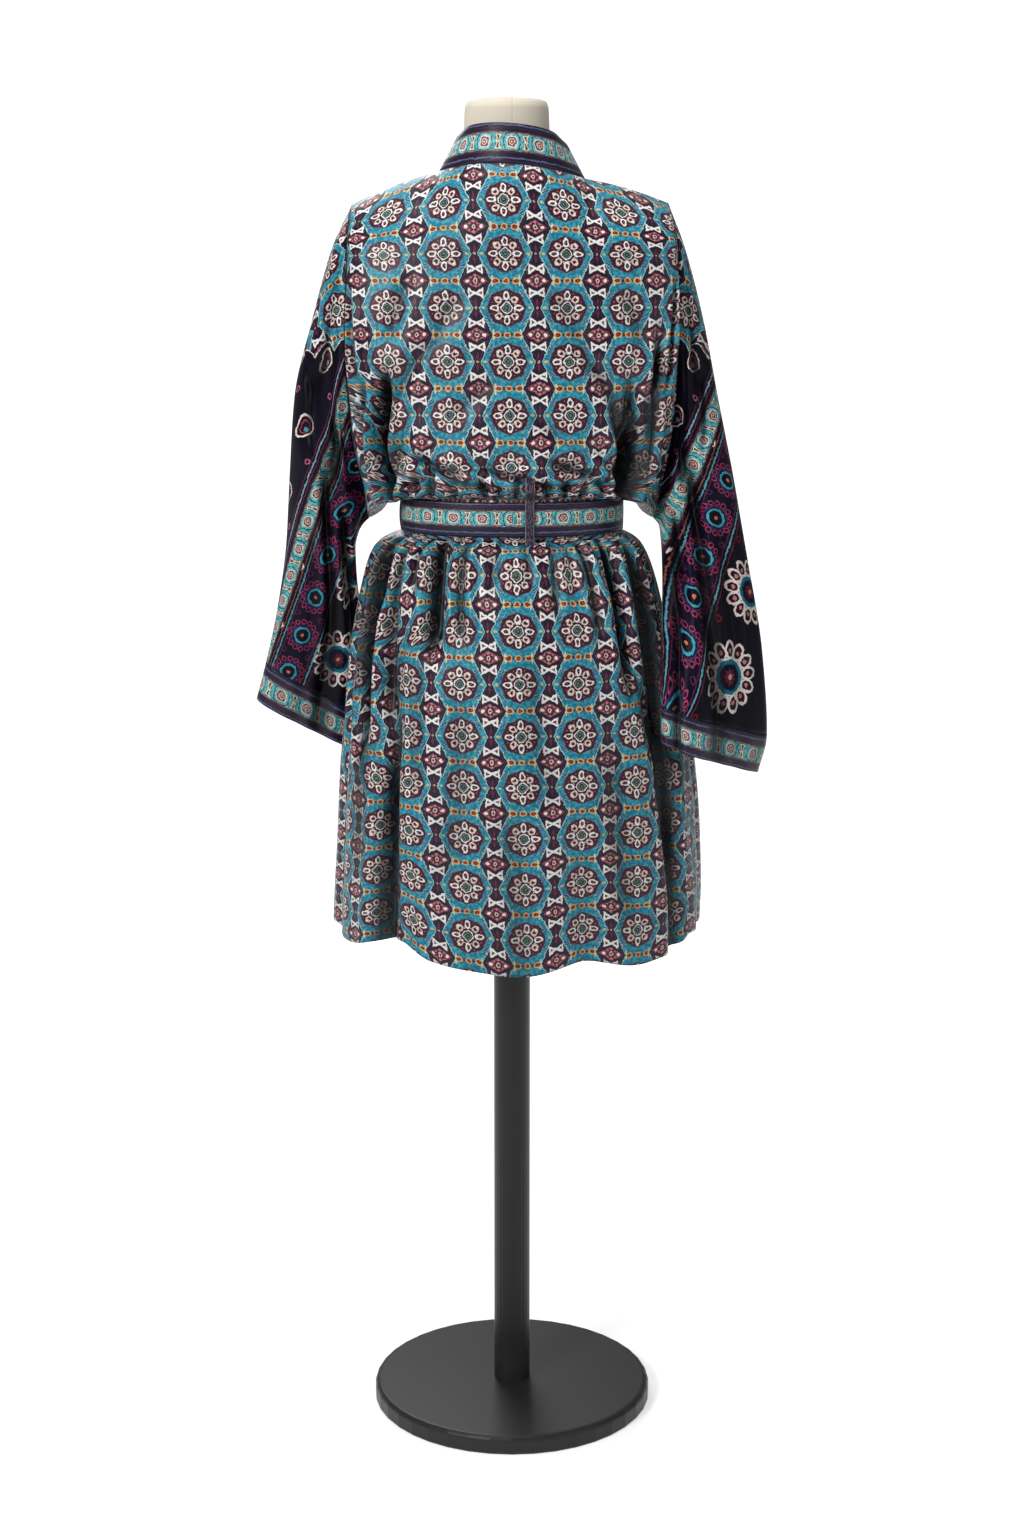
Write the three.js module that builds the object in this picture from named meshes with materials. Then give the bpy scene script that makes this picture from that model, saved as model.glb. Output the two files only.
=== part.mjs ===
// A long kimono jacket with its tied cloth belt, on a limbless dress form with a pole and a round base.
// Millimetres, +Z up. The garment's back faces +Y and its front -Y, so the wearer's left side is +X.
// Cloth is a thin wall whose outer face is worked out first; the inner face lies one wall further in.
import * as THREE from 'three';

// Cloth and seams
const clothWall = 1.6;
const bandWall = 2.2;
const seamGap = 0.3;
const frontLap = 4.0; // how far the wearer's left front stands off the right one where they overlap
const bandWidth = 45; // the border-print band of neck, fronts, belt and cuffs

// Shoulders and neck opening
const neckHalf = 84;
const neckSeamBack = 66; // how far the neck seam swings to the back of the shoulder line
const neckRise = 11;
const shoulderLineY = -4;
const shoulderCrown = 3;
const shoulders = {
  left: { sign: 1, tip: 182, tipZ: 1457, neckZ: 1493 },
  right: { sign: -1, tip: 178, tipZ: 1458, neckZ: 1485 },
};

// The body of the garment, a row for each level. Drop runs down the cloth from the shoulder blades to the hem.
// left, right: half widths. slot: how far the armhole's edges stand off the middle. back, front: depths.
const beltTopDrop = 318;
const beltEndDrop = 358;
const hemDrop = 868;
const hemLiftStart = 600; // the drop from which the hem's rise begins
const bodyRows = [
  { drop: 0, backZ: 1395, sideZ: 1395, frontZ: 1395, left: 186, right: 187, slot: 50, back: 92, front: 84 },
  { drop: 95, backZ: 1300, sideZ: 1300, frontZ: 1300, left: 187, right: 188, slot: 58, back: 101, front: 114 },
  { drop: 165, backZ: 1230, sideZ: 1230, frontZ: 1232, left: 183, right: 184, slot: 46, back: 107, front: 119 },
  { drop: 215, backZ: 1180, sideZ: 1176, frontZ: 1186, left: 178, right: 178, slot: 30, back: 113, front: 120 },
  { drop: 245, backZ: 1154, sideZ: 1140, frontZ: 1160, left: 172, right: 172, slot: 15, back: 114, front: 116 },
  { drop: 262, backZ: 1142, sideZ: 1118, frontZ: 1151, left: 170, right: 169, slot: 6, back: 112, front: 112 },
  { drop: 280, backZ: 1135, sideZ: 1100, frontZ: 1143, left: 166, right: 164, slot: 0, back: 107, front: 107 },
  { drop: 292, backZ: 1133, sideZ: 1108, frontZ: 1138, left: 152, right: 151, slot: 0, back: 102.5, front: 103 },
  { drop: 304, backZ: 1132.5, sideZ: 1126, frontZ: 1134, left: 138, right: 138, slot: 0, back: 99, front: 99.5 },
  { drop: 312, backZ: 1132, sideZ: 1133, frontZ: 1131.5, left: 129.5, right: 129.5, slot: 0, back: 96.8, front: 97.2 },
  { drop: 318, backZ: 1130, sideZ: 1130, frontZ: 1129.5, left: 126.6, right: 126.6, slot: 0, back: 95, front: 95 },
  { drop: 358, backZ: 1086, sideZ: 1086, frontZ: 1086, left: 126.6, right: 126.6, slot: 0, back: 95, front: 95 },
  { drop: 372, backZ: 1080, sideZ: 1081, frontZ: 1081, left: 141, right: 138, slot: 0, back: 104, front: 100 },
  { drop: 390, backZ: 1070, sideZ: 1071, frontZ: 1070, left: 157, right: 150, slot: 0, back: 115, front: 108 },
  { drop: 432, backZ: 1027, sideZ: 1027, frontZ: 1028, left: 172, right: 169, slot: 0, back: 129, front: 126 },
  { drop: 502, backZ: 956, sideZ: 956, frontZ: 956, left: 186, right: 186, slot: 0, back: 139, front: 138 },
  { drop: 588, backZ: 870, sideZ: 870, frontZ: 870, left: 197, right: 201, slot: 0, back: 148, front: 147 },
  { drop: 648, backZ: 811, sideZ: 811, frontZ: 811, left: 204, right: 218, slot: 0, back: 153, front: 151 },
  { drop: 746, backZ: 713, sideZ: 713, frontZ: 713, left: 209, right: 226, slot: 0, back: 159, front: 157 },
  { drop: 821, backZ: 638, sideZ: 638, frontZ: 638, left: 213, right: 228, slot: 0, back: 163, front: 161 },
  { drop: 868, backZ: 590, sideZ: 590, frontZ: 590, left: 215, right: 227, slot: 0, back: 166, front: 163 },
];

// How much higher than its lowest point the hem hangs, round the skirt. Angles are as for the folds.
const hemRows = [
  { angle: -180, rise: 12 },
  { angle: -150, rise: 9 },
  { angle: -118, rise: 20 },
  { angle: -69, rise: 27 },
  { angle: -60, rise: 19 },
  { angle: -40, rise: 6 },
  { angle: -22, rise: 15 },
  { angle: -2, rise: 0 },
  { angle: 15, rise: 8 },
  { angle: 26, rise: 16 },
  { angle: 38, rise: 35 },
  { angle: 50, rise: 28 },
  { angle: 62, rise: 21 },
  { angle: 84, rise: 31 },
  { angle: 120, rise: 22 },
  { angle: 152, rise: 8 },
  { angle: 180, rise: 12 },
];

// Where the wearer's left front ends, at the seam of its band. The right front mirrors it.
const frontSeamRows = [
  { drop: 0, x: 68 },
  { drop: 95, x: 40 },
  { drop: 165, x: 16 },
  { drop: 245, x: -8 },
  { drop: 318, x: -20 },
  { drop: 358, x: -22 },
  { drop: 502, x: -26 },
  { drop: 868, x: -28 },
];

// Folds are soft troughs. An angle of 0 is the middle of the back, 90 the wearer's left side, 180 the front.
// A fold whose end lies past the hem runs out through it. Width is half the trough's, in mm.
const mmPerDegree = 2.9;
const bodyFolds = [
  { from: 50, top: 110, to: 61, end: 285, depth: 25, width: 13 },
  { from: 40, top: 175, to: 49, end: 268, depth: 8, width: 9 },
  { from: 24, top: 190, to: 40, end: 232, depth: 6, width: 9 },
  { from: -12, top: 214, to: 20, end: 232, depth: 5, width: 9 },
  { from: -36, top: 208, to: -10, end: 246, depth: 6, width: 9 },
  { from: -46, top: 115, to: -55, end: 282, depth: 24, width: 13 },
  { from: -32, top: 180, to: -42, end: 262, depth: 7, width: 9 },
  { from: 66, top: 60, to: 58, end: 190, depth: 6, width: 11 },
  { from: -68, top: 50, to: -58, end: 170, depth: 6, width: 11 },
  { from: 126, top: 120, to: 122, end: 285, depth: 20, width: 13 },
  { from: -128, top: 120, to: -123, end: 285, depth: 20, width: 13 },
  { from: 150, top: 190, to: 154, end: 300, depth: 6, width: 10 },
  { from: -152, top: 185, to: -157, end: 300, depth: 6, width: 10 },
  { from: 15, top: 355, to: 13, end: 440, depth: 6, width: 10 },
  { from: 32, top: 352, to: 27, end: 520, depth: 14, width: 12 },
  { from: 49, top: 352, to: 38, end: 1000, depth: 14, width: 15 },
  { from: 64, top: 352, to: 60, end: 640, depth: 14, width: 12 },
  { from: 78, top: 360, to: 76, end: 1000, depth: 9, width: 14 },
  { from: -27, top: 352, to: -26, end: 450, depth: 6, width: 10 },
  { from: -45, top: 352, to: -47, end: 560, depth: 12, width: 12 },
  { from: -61, top: 352, to: -56, end: 700, depth: 17, width: 14 },
  { from: -47, top: 600, to: -66, end: 900, depth: 9, width: 14 },
  { from: -20, top: 640, to: -26, end: 1100, depth: 9, width: 17 },
  { from: 8, top: 660, to: 5, end: 1150, depth: 5, width: 18 },
  { from: -80, top: 360, to: -83, end: 1000, depth: 10, width: 14 },
  { from: 97, top: 360, to: 99, end: 1000, depth: 12, width: 14 },
  { from: 116, top: 352, to: 120, end: 1000, depth: 14, width: 14 },
  { from: 136, top: 352, to: 140, end: 620, depth: 10, width: 12 },
  { from: 152, top: 352, to: 158, end: 1000, depth: 8, width: 14 },
  { from: -99, top: 360, to: -102, end: 1000, depth: 12, width: 14 },
  { from: -118, top: 352, to: -122, end: 1000, depth: 14, width: 14 },
  { from: -138, top: 352, to: -142, end: 640, depth: 10, width: 12 },
  { from: -156, top: 352, to: -160, end: 1000, depth: 7, width: 14 },
];

// Mesh rows of the body, as shares of the yoke and as drops below it
const yokeShares = [0, 0.18, 0.38, 0.6, 0.8];
const armholeDrops = [0, 48, 95, 130, 165, 192, 216, 240, 262, 280];
const waistDrops = [292, 304, 312, 318, 358, 372, 390];
const skirtDrops = [412, 440, 472, 510, 555, 602, 650, 700, 750, 802, 836, 868];
const columnsToNeck = 5;
const columnsToArmhole = 13;
const frontColumns = 16;

// Sleeves, a row for each section from the armhole (at 0) to the cuff seam (at 1) and the cuff's edge.
// The section spans from its outer edge, over the shoulder, to its inner edge, under the arm.
const cuffSeam = 1;
const sleeveRows = {
  left: [
    { at: 0, outX: 182, outY: -4, outZ: 1457, inX: 166, inY: 0, inZ: 1100, half: 58 },
    { at: 0.1, outX: 205, outY: -3, outZ: 1410, inX: 174, inY: -2, inZ: 1092, half: 60 },
    { at: 0.25, outX: 229, outY: -3, outZ: 1330, inX: 180, inY: -6, inZ: 1080, half: 56 },
    { at: 0.42, outX: 252, outY: -8, outZ: 1240, inX: 184, inY: -16, inZ: 1060, half: 50 },
    { at: 0.58, outX: 260, outY: -16, outZ: 1150, inX: 184, inY: -32, inZ: 1025, half: 44 },
    { at: 0.74, outX: 267, outY: -27, outZ: 1060, inX: 182, inY: -55, inZ: 975, half: 39 },
    { at: 0.88, outX: 279, outY: -37, outZ: 985, inX: 183, inY: -76, inZ: 915, half: 36 },
    { at: 1, outX: 294, outY: -45, outZ: 921, inX: 187, inY: -90, inZ: 862, half: 34 },
    { at: 1.08, outX: 307, outY: -49, outZ: 875, inX: 191, inY: -95, inZ: 818, half: 34 },
  ],
  right: [
    { at: 0, outX: 178, outY: -4, outZ: 1458, inX: 164, inY: 0, inZ: 1100, half: 58 },
    { at: 0.1, outX: 197, outY: -1, outZ: 1410, inX: 171, inY: 3, inZ: 1092, half: 60 },
    { at: 0.25, outX: 219, outY: 3, outZ: 1330, inX: 173, inY: 9, inZ: 1078, half: 56 },
    { at: 0.42, outX: 237, outY: 11, outZ: 1240, inX: 174, inY: 26, inZ: 1055, half: 49 },
    { at: 0.58, outX: 255, outY: 22, outZ: 1150, inX: 174, inY: 50, inZ: 1022, half: 42 },
    { at: 0.74, outX: 271, outY: 36, outZ: 1055, inX: 173, inY: 77, inZ: 978, half: 36 },
    { at: 0.88, outX: 288, outY: 49, outZ: 950, inX: 172, inY: 98, inZ: 930, half: 32 },
    { at: 1, outX: 295, outY: 58, outZ: 856, inX: 172, inY: 112, inZ: 896, half: 30 },
    { at: 1.08, outX: 285, outY: 60, outZ: 812, inX: 173, inY: 114, inZ: 853, half: 30 },
  ],
};
const sleeveStations = [0, 0.05, 0.11, 0.18, 0.26, 0.34, 0.42, 0.5, 0.58, 0.66, 0.74, 0.82, 0.91, 1];
const cuffStations = [1, 1.04, 1.08];
const armholeBlend = 0.3; // over this share of the sleeve its section turns from the armhole's shape to an oval

// Sleeve folds. An angle of 0 is the outer edge, 90 the back, 180 the inner edge, 270 the front.
const sleeveFolds = [
  { from: 62, top: 0.06, to: 48, end: 0.5, depth: 7, width: 13 },
  { from: 105, top: 0.1, to: 96, end: 0.62, depth: 9, width: 14 },
  { from: 140, top: 0.16, to: 142, end: 0.95, depth: 8, width: 12 },
  { from: 74, top: 0.5, to: 70, end: 1.3, depth: 6, width: 14 },
  { from: 292, top: 0.08, to: 306, end: 0.55, depth: 8, width: 14 },
  { from: 250, top: 0.12, to: 258, end: 0.7, depth: 9, width: 14 },
  { from: 222, top: 0.3, to: 220, end: 1.3, depth: 7, width: 13 },
  { from: 285, top: 0.55, to: 290, end: 1.3, depth: 5, width: 14 },
];

// Belt, its loops, knot and tails
const beltTop = 1127.5;
const beltBottom = 1088;
const beltEase = 0.8;
const beltSegments = 56;
const backLoop = { x: -20, width: 11, wall: 1.2 };
const sideLoop = { angle: 78, width: 5, wall: 1.2 };
const knot = { x: 4, z: 1106, width: 50, height: 44, depth: 22 };
const tails = [
  { name: 'belt_tail_left', fromX: 14, toX: 40, endZ: 840, width: 42, over: 3.2 },
  { name: 'belt_tail_right', fromX: -9, toX: -42, endZ: 800, width: 42, over: 0 },
];

// Dress form, pole and base
const formRows = [
  { z: 800, side: 128, back: 78, front: 74 },
  { z: 806, side: 144, back: 89, front: 84 },
  { z: 822, side: 154, back: 96, front: 90 },
  { z: 870, side: 160, back: 100, front: 92 },
  { z: 930, side: 158, back: 100, front: 91 },
  { z: 1000, side: 145, back: 93, front: 84 },
  { z: 1060, side: 122, back: 81, front: 77 },
  { z: 1110, side: 112, back: 76, front: 75 },
  { z: 1165, side: 119, back: 79, front: 84 },
  { z: 1235, side: 134, back: 84, front: 98 },
  { z: 1300, side: 146, back: 86, front: 103 },
  { z: 1355, side: 153, back: 85, front: 93 },
  { z: 1395, side: 160, back: 79, front: 74 },
  { z: 1425, side: 165, back: 66, front: 56 },
  { z: 1444, side: 164, back: 51, front: 42 },
  { z: 1457, side: 156, back: 41, front: 35 },
  { z: 1467.2, side: 139, back: 34, front: 31 },
  { z: 1474.2, side: 113, back: 33, front: 31 },
  { z: 1479.2, side: 85, back: 36, front: 37 },
  { z: 1486, side: 64, back: 42, front: 46 },
  { z: 1505, side: 53, back: 43, front: 51 },
  { z: 1532, side: 49, back: 42, front: 53 },
  { z: 1562, side: 47.5, back: 41.5, front: 53.5 },
  { z: 1569, side: 45, back: 39, front: 51 },
  { z: 1572.5, side: 38, back: 32, front: 44 },
  { z: 1574, side: 22, back: 17, front: 28 },
];
const formSegments = 28;
const neckShift = 6; // the form's neck stands this far towards the wearer's left
const neckShiftStart = 1476;
const neckShiftHeight = 40;
const poleRadius = 22;
const baseRadius = 171;
const baseThick = 23;
const baseEdge = 7;

// Small tools
const lerp = (a, b, t) => a + (b - a) * t;
const clamp01 = (t) => Math.min(1, Math.max(0, t));
const ease = (t) => clamp01(t) ** 2 * (3 - 2 * clamp01(t));
const radians = (degrees) => (degrees * Math.PI) / 180;

// Reads a column of a table between its rows, on a smooth curve that never overshoots a row
function read(rows, key, place, column) {
  const last = rows.length - 1;
  if (place <= rows[0][key]) return rows[0][column];
  if (place >= rows[last][key]) return rows[last][column];
  let i = 0;
  while (place > rows[i + 1][key]) i += 1;
  const slope = (k) => (rows[k + 1][column] - rows[k][column]) / (rows[k + 1][key] - rows[k][key]);
  const tangent = (k) => {
    if (k === 0) return slope(0);
    if (k === last) return slope(last - 1);
    const before = slope(k - 1);
    const after = slope(k);
    return before * after <= 0 ? 0 : (2 * before * after) / (before + after);
  };
  const span = rows[i + 1][key] - rows[i][key];
  const t = (place - rows[i][key]) / span;
  return (
    rows[i][column] * (1 + 2 * t) * (1 - t) ** 2 +
    rows[i + 1][column] * t * t * (3 - 2 * t) +
    span * (tangent(i) * t * (1 - t) ** 2 + tangent(i + 1) * t * t * (t - 1))
  );
}

// How deep the folds of a table are at one place
function foldDepth(folds, angle, place, mmPerAngle, mmPerPlace) {
  let depth = 0;
  for (const fold of folds) {
    const runX = (fold.to - fold.from) * mmPerAngle;
    const runY = (fold.end - fold.top) * mmPerPlace;
    const x = (angle - fold.from) * mmPerAngle;
    const y = (place - fold.top) * mmPerPlace;
    const length = Math.hypot(runX, runY);
    const along = (x * runX + y * runY) / length ** 2;
    const away = Math.abs(x * runY - y * runX) / length;
    const ends = ease(along / 0.28) * ease((1 - along) / 0.28);
    depth += fold.depth * ends * Math.exp(-((away / fold.width) ** 2));
  }
  return depth;
}

// How far the cloth is drawn up towards the hem's rise
function hemLift(angle, drop) {
  const share = clamp01((drop - hemLiftStart) / (hemDrop - hemLiftStart));
  return share ** 2 * read(hemRows, 'angle', angle, 'rise');
}

// A point of the body's outer face. Turn is -1 to 1 across the back or the front, half 'back' or 'front'.
// Lift moves it straight out from the middle line.
function bodyPoint(half, turn, drop, lift = 0) {
  const row = (column) => read(bodyRows, 'drop', drop, column);
  const angle = radians(90 * turn);
  const side = turn >= 0 ? row('left') : row('right');
  const slot = row('slot');
  const depth = row(half);
  const facing = half === 'back' ? 1 : -1;
  const centreZ = half === 'back' ? row('backZ') : row('frontZ');
  const ringAngle = half === 'back' ? 90 * turn : Math.sign(turn || 1) * 180 - 90 * turn;
  const inward = foldDepth(bodyFolds, ringAngle, drop, mmPerDegree, 1);
  const x = side * Math.sin(angle);
  const y = slot + (depth - slot) * Math.max(0, Math.cos(angle)) ** 0.86;
  const out = new THREE.Vector2(x / side ** 2, y / depth ** 2).normalize();
  return new THREE.Vector3(
    x + out.x * (lift - inward),
    facing * (y + out.y * (lift - inward)),
    lerp(centreZ, row('sideZ'), Math.abs(turn) ** 3) + hemLift(ringAngle, drop),
  );
}

// The turn at which the body reaches a given x
function turnAt(x, drop) {
  const side = read(bodyRows, 'drop', drop, x >= 0 ? 'left' : 'right');
  return Math.asin(THREE.MathUtils.clamp(x / side, -1, 1)) / (Math.PI / 2);
}

// The top edge: the shoulder line, and between the neck points the seam of the neckband
function topEdge(x) {
  const shoulder = x >= 0 ? shoulders.left : shoulders.right;
  const reach = Math.abs(x);
  if (reach >= neckHalf) {
    const t = (reach - neckHalf) / (shoulder.tip - neckHalf);
    const z = lerp(shoulder.neckZ, shoulder.tipZ, t) + shoulderCrown * Math.sin(Math.PI * t);
    return new THREE.Vector3(x, shoulderLineY, z);
  }
  const open = 1 - (reach / neckHalf) ** 2;
  const z = lerp(shoulders.right.neckZ, shoulders.left.neckZ, ease((x / neckHalf + 1) / 2));
  return new THREE.Vector3(x, shoulderLineY + neckSeamBack * open ** 0.72, z + neckRise * open);
}

// The yoke rounds over from the top edge to the first body row
function yokePoint(top, foot, share) {
  const fall = top.z - foot.z;
  const over = top.clone();
  over.y = lerp(top.y, foot.y, 0.55);
  over.z -= 0.1 * fall;
  const above = foot.clone();
  above.z += 0.5 * fall;
  return new THREE.CubicBezierCurve3(top, over, above, foot).getPoint(share);
}

// Rows of the body grid: yoke shares first, then drops
const bodyLevels = [
  ...yokeShares.map((share) => ({ share })),
  ...armholeDrops.map((drop) => ({ drop })),
  ...[...waistDrops, ...skirtDrops].map((drop) => ({ drop })),
];
const armholeLevels = yokeShares.length + armholeDrops.length;

function backPoint(turn, level) {
  const split = new THREE.Vector3(0, seamGap / 2, 0);
  if (level.drop !== undefined) return bodyPoint('back', turn, level.drop).add(split);
  const tip = turn >= 0 ? shoulders.left.tip : shoulders.right.tip;
  const top = topEdge(tip * Math.sin(radians(90 * turn)));
  return yokePoint(top, bodyPoint('back', turn, 0), level.share).add(split);
}

// The wearer's left front lies over the right one, so it lifts off as it nears the middle
function lapLift(x, drop) {
  return frontLap * ease((125 - x) / 50) * ease((drop - 40) / 60);
}

// Across is 0 at the band's seam and 1 at the armhole or side seam
function frontPoint(side, across, level) {
  const { sign, tip } = shoulders[side];
  const split = new THREE.Vector3(0, -seamGap / 2, 0);
  const drop = level.drop ?? 0;
  const start = turnAt(sign * read(frontSeamRows, 'drop', drop, 'x'), drop) * sign;
  const turn = sign * lerp(start, 1, across);
  const base = bodyPoint('front', turn, drop);
  const lift = side === 'left' ? lapLift(base.x, drop) : 0;
  const foot = lift > 0 ? bodyPoint('front', turn, drop, lift) : base;
  if (level.drop !== undefined) return foot.add(split);
  const first = Math.abs(bodyPoint('front', sign * start, 0).x);
  const last = Math.abs(bodyPoint('front', sign, 0).x);
  const share = (Math.abs(foot.x) - first) / (last - first);
  return yokePoint(topEdge(sign * lerp(neckHalf, tip, share)), foot, level.share).add(split);
}

// Closes a grid of outer points into a wall. Rows run down, columns across; loop joins the last column to
// the first. At an edge that meets another piece, pinned names the axis along which the inner point keeps the
// outer one's place.
function clothWallGeometry(rows, thick, { loop = false, pinned = () => null } = {}) {
  const high = rows.length;
  const wide = rows[0].length;
  const outer = rows.flat();
  const at = (i, j) => i * wide + j;
  const inner = outer.map((point, index) => {
    const i = Math.floor(index / wide);
    const j = index % wide;
    const before = loop ? (j + wide - 1) % wide : Math.max(0, j - 1);
    const after = loop ? (j + 1) % wide : Math.min(wide - 1, j + 1);
    const across = outer[at(i, after)].clone().sub(outer[at(i, before)]);
    const down = outer[at(Math.min(high - 1, i + 1), j)].clone().sub(outer[at(Math.max(0, i - 1), j)]);
    const under = point.clone().addScaledVector(down.cross(across).normalize(), -thick);
    const axis = pinned(i, j, wide);
    if (axis) under[axis] = point[axis];
    return under;
  });
  const faces = [];
  const quad = (a, b, c, d) => faces.push(a, b, c, a, c, d);
  const count = outer.length;
  const spans = loop ? wide : wide - 1;
  for (let i = 0; i < high - 1; i += 1) {
    for (let j = 0; j < spans; j += 1) {
      const k = (j + 1) % wide;
      quad(at(i, j), at(i + 1, j), at(i + 1, k), at(i, k));
      quad(count + at(i, j), count + at(i, k), count + at(i + 1, k), count + at(i + 1, j));
    }
  }
  const edge = (a, b) => quad(a, b, count + b, count + a);
  for (let j = 0; j < spans; j += 1) {
    edge(at(0, j), at(0, (j + 1) % wide));
    edge(at(high - 1, (j + 1) % wide), at(high - 1, j));
  }
  for (let i = 0; i < high - 1 && !loop; i += 1) {
    edge(at(i + 1, 0), at(i, 0));
    edge(at(i, wide - 1), at(i + 1, wide - 1));
  }
  return meshGeometry([...outer, ...inner], faces);
}

function meshGeometry(points, faces) {
  const geometry = new THREE.BufferGeometry();
  geometry.setAttribute('position', new THREE.Float32BufferAttribute(points.flatMap((p) => p.toArray()), 3));
  geometry.setIndex(faces);
  geometry.computeVertexNormals();
  return geometry;
}

// Body panels
function backPanel() {
  const neckTurn = turnAt(neckHalf, 0);
  const turns = [];
  for (let i = 0; i < columnsToNeck; i += 1) turns.push((neckTurn * i) / columnsToNeck);
  for (let i = 0; i <= columnsToArmhole; i += 1) turns.push(lerp(neckTurn, 1, i / columnsToArmhole));
  const across = [...turns.slice(1).reverse().map((turn) => -turn), ...turns];
  const rows = bodyLevels.map((level) => across.map((turn) => backPoint(turn, level)));
  return clothWallGeometry(rows.map(flip), clothWall, {
    pinned: (i, j, wide) => (i === 0 || j === 0 || j === wide - 1 ? 'y' : null),
  });
}

// Columns run from the wearer's left to the right on the back, so that the wall's outer face looks out
function flip(row) {
  return [...row].reverse();
}

function frontPanel(side) {
  const across = Array.from({ length: frontColumns + 1 }, (_, i) => i / frontColumns);
  const rows = bodyLevels.map((level) => across.map((share) => frontPoint(side, share, level)));
  return clothWallGeometry(side === 'left' ? rows : rows.map(flip), clothWall, {
    pinned: (i, j, wide) => (i === 0 || j === (side === 'left' ? wide - 1 : 0) ? 'y' : null),
  });
}

// The armhole as the body panels leave it: down the back from the shoulder point, and up the front
function armhole(side) {
  const { sign } = shoulders[side];
  const out = new THREE.Vector3(sign * seamGap * 1.5, 0, 0);
  const levels = bodyLevels.slice(0, armholeLevels);
  const back = levels.map((level) => backPoint(sign, level));
  const front = levels.map((level) => frontPoint(side, 1, level));
  const middle = (i) => back[i].clone().add(front[i]).multiplyScalar(0.5);
  const ring = [middle(0), ...back.slice(1, -1), middle(levels.length - 1), ...front.slice(1, -1).reverse()];
  return ring.map((point) => point.add(out));
}

function sleeveRings(side, stations) {
  const { sign } = shoulders[side];
  const rows = sleeveRows[side];
  const edgePoint = (at, end) =>
    new THREE.Vector3(
      sign * read(rows, 'at', at, `${end}X`),
      read(rows, 'at', at, `${end}Y`),
      read(rows, 'at', at, `${end}Z`),
    );
  const hole = armhole(side);
  const half = hole.length / 2;
  const holeOut = hole[0];
  const holeIn = hole[half];
  const holeAxis = holeOut.clone().sub(holeIn);
  const shape = hole.map((point, index) => {
    const share = point.clone().sub(holeIn).dot(holeAxis) / holeAxis.lengthSq();
    const straight = holeIn.clone().addScaledVector(holeAxis, share);
    const turn = Math.acos(THREE.MathUtils.clamp(2 * share - 1, -1, 1));
    return { turn: index <= half ? turn : 2 * Math.PI - turn, off: point.clone().sub(straight) };
  });
  return stations.map((at) => {
    const outer = at > 0 ? edgePoint(at, 'out') : holeOut.clone();
    const inner = at > 0 ? edgePoint(at, 'in') : holeIn.clone();
    const centre = outer.clone().add(inner).multiplyScalar(0.5);
    const reach = outer.clone().sub(inner).multiplyScalar(0.5);
    const axis = reach.clone().normalize();
    const back = new THREE.Vector3(0, 1, 0).addScaledVector(axis, -axis.y).normalize();
    const oval = ease(at / armholeBlend);
    return shape.map(({ turn, off }) => {
      const wide = Math.sin(turn) * read(rows, 'at', at, 'half');
      const point = centre.clone().addScaledVector(reach, Math.cos(turn));
      point.addScaledVector(off, 1 - oval).addScaledVector(back, wide * oval);
      const outward = axis.clone().multiplyScalar(Math.cos(turn)).addScaledVector(back, Math.sin(turn));
      const depth = foldDepth(sleeveFolds, (turn * 180) / Math.PI, at, 0.8, 560);
      return point.addScaledVector(outward, -depth);
    });
  });
}

function sleeve(side) {
  const last = sleeveStations.length - 1;
  const stations = sleeveStations.map((at, i) => (i === last ? cuffSeam - 0.0005 : at));
  return clothWallGeometry(sleeveRings(side, stations).map(side === 'left' ? (row) => row : flip), clothWall, {
    loop: true,
    pinned: (i) => (i === 0 ? 'x' : null),
  });
}

function cuff(side) {
  const stations = cuffStations.map((at, i) => (i === 0 ? cuffSeam + 0.0005 : at));
  return clothWallGeometry(sleeveRings(side, stations).map(side === 'left' ? (row) => row : flip), bandWall, {
    loop: true,
  });
}

// The neckband stands round the neck and lies down onto the fronts. Stand is its direction away from the seam.
const neckbandRows = [
  { place: 0, x: 0, y: -0.2, z: 0.98, width: 45 },
  { place: 0.6, x: -0.16, y: -0.16, z: 0.97, width: 45 },
  { place: 1, x: -0.45, y: -0.14, z: 0.88, width: 44 },
  { place: 1.4, x: -0.6, y: -0.3, z: 0.74, width: 44 },
  { place: 1.75, x: -0.82, y: -0.22, z: 0.52, width: 44.5 },
  { place: 2, x: -0.955, y: -0.06, z: 0.29, width: 45 },
];

// The front bands start this far below the neckband's end
const bandStart = 3.2;

// Width shares of a band, from its seam to its free edge
const bandShares = [0, 0.5, 1];

// A point of a front band: straight across from the seam, on the same face as the front it is sewn to
function frontBandPoint(side, share, drop) {
  const { sign } = shoulders[side];
  const step = 4;
  const seamX = (at) => read(frontSeamRows, 'drop', at, 'x');
  const above = Math.max(0, drop - step);
  const slope = (seamX(drop + step) - seamX(above)) / (drop + step - above);
  const turned = Math.atan(-slope) * ease((280 - drop) / 80);
  const reach = seamGap + share * (bandWidth - seamGap);
  const x = sign * (seamX(drop) - reach * Math.cos(turned));
  const bandDrop = Math.max(0, drop - reach * Math.sin(turned));
  const lift = side === 'left' ? lapLift(x, bandDrop) : 0;
  const point = bodyPoint('front', turnAt(x, bandDrop), bandDrop, lift);
  point.y -= seamGap / 2;
  point.z += Math.max(0, reach * Math.sin(turned) - drop);
  return point;
}

function frontBand(side) {
  const levels = bodyLevels.filter((level) => level.drop !== undefined);
  const drops = levels.map((level, i) => level.drop + (i === 0 ? bandStart : 0));
  const rows = drops.map((drop) => bandShares.map((share) => frontBandPoint(side, share, drop)));
  return clothWallGeometry(side === 'left' ? rows.map(flip) : rows, clothWall);
}

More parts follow.
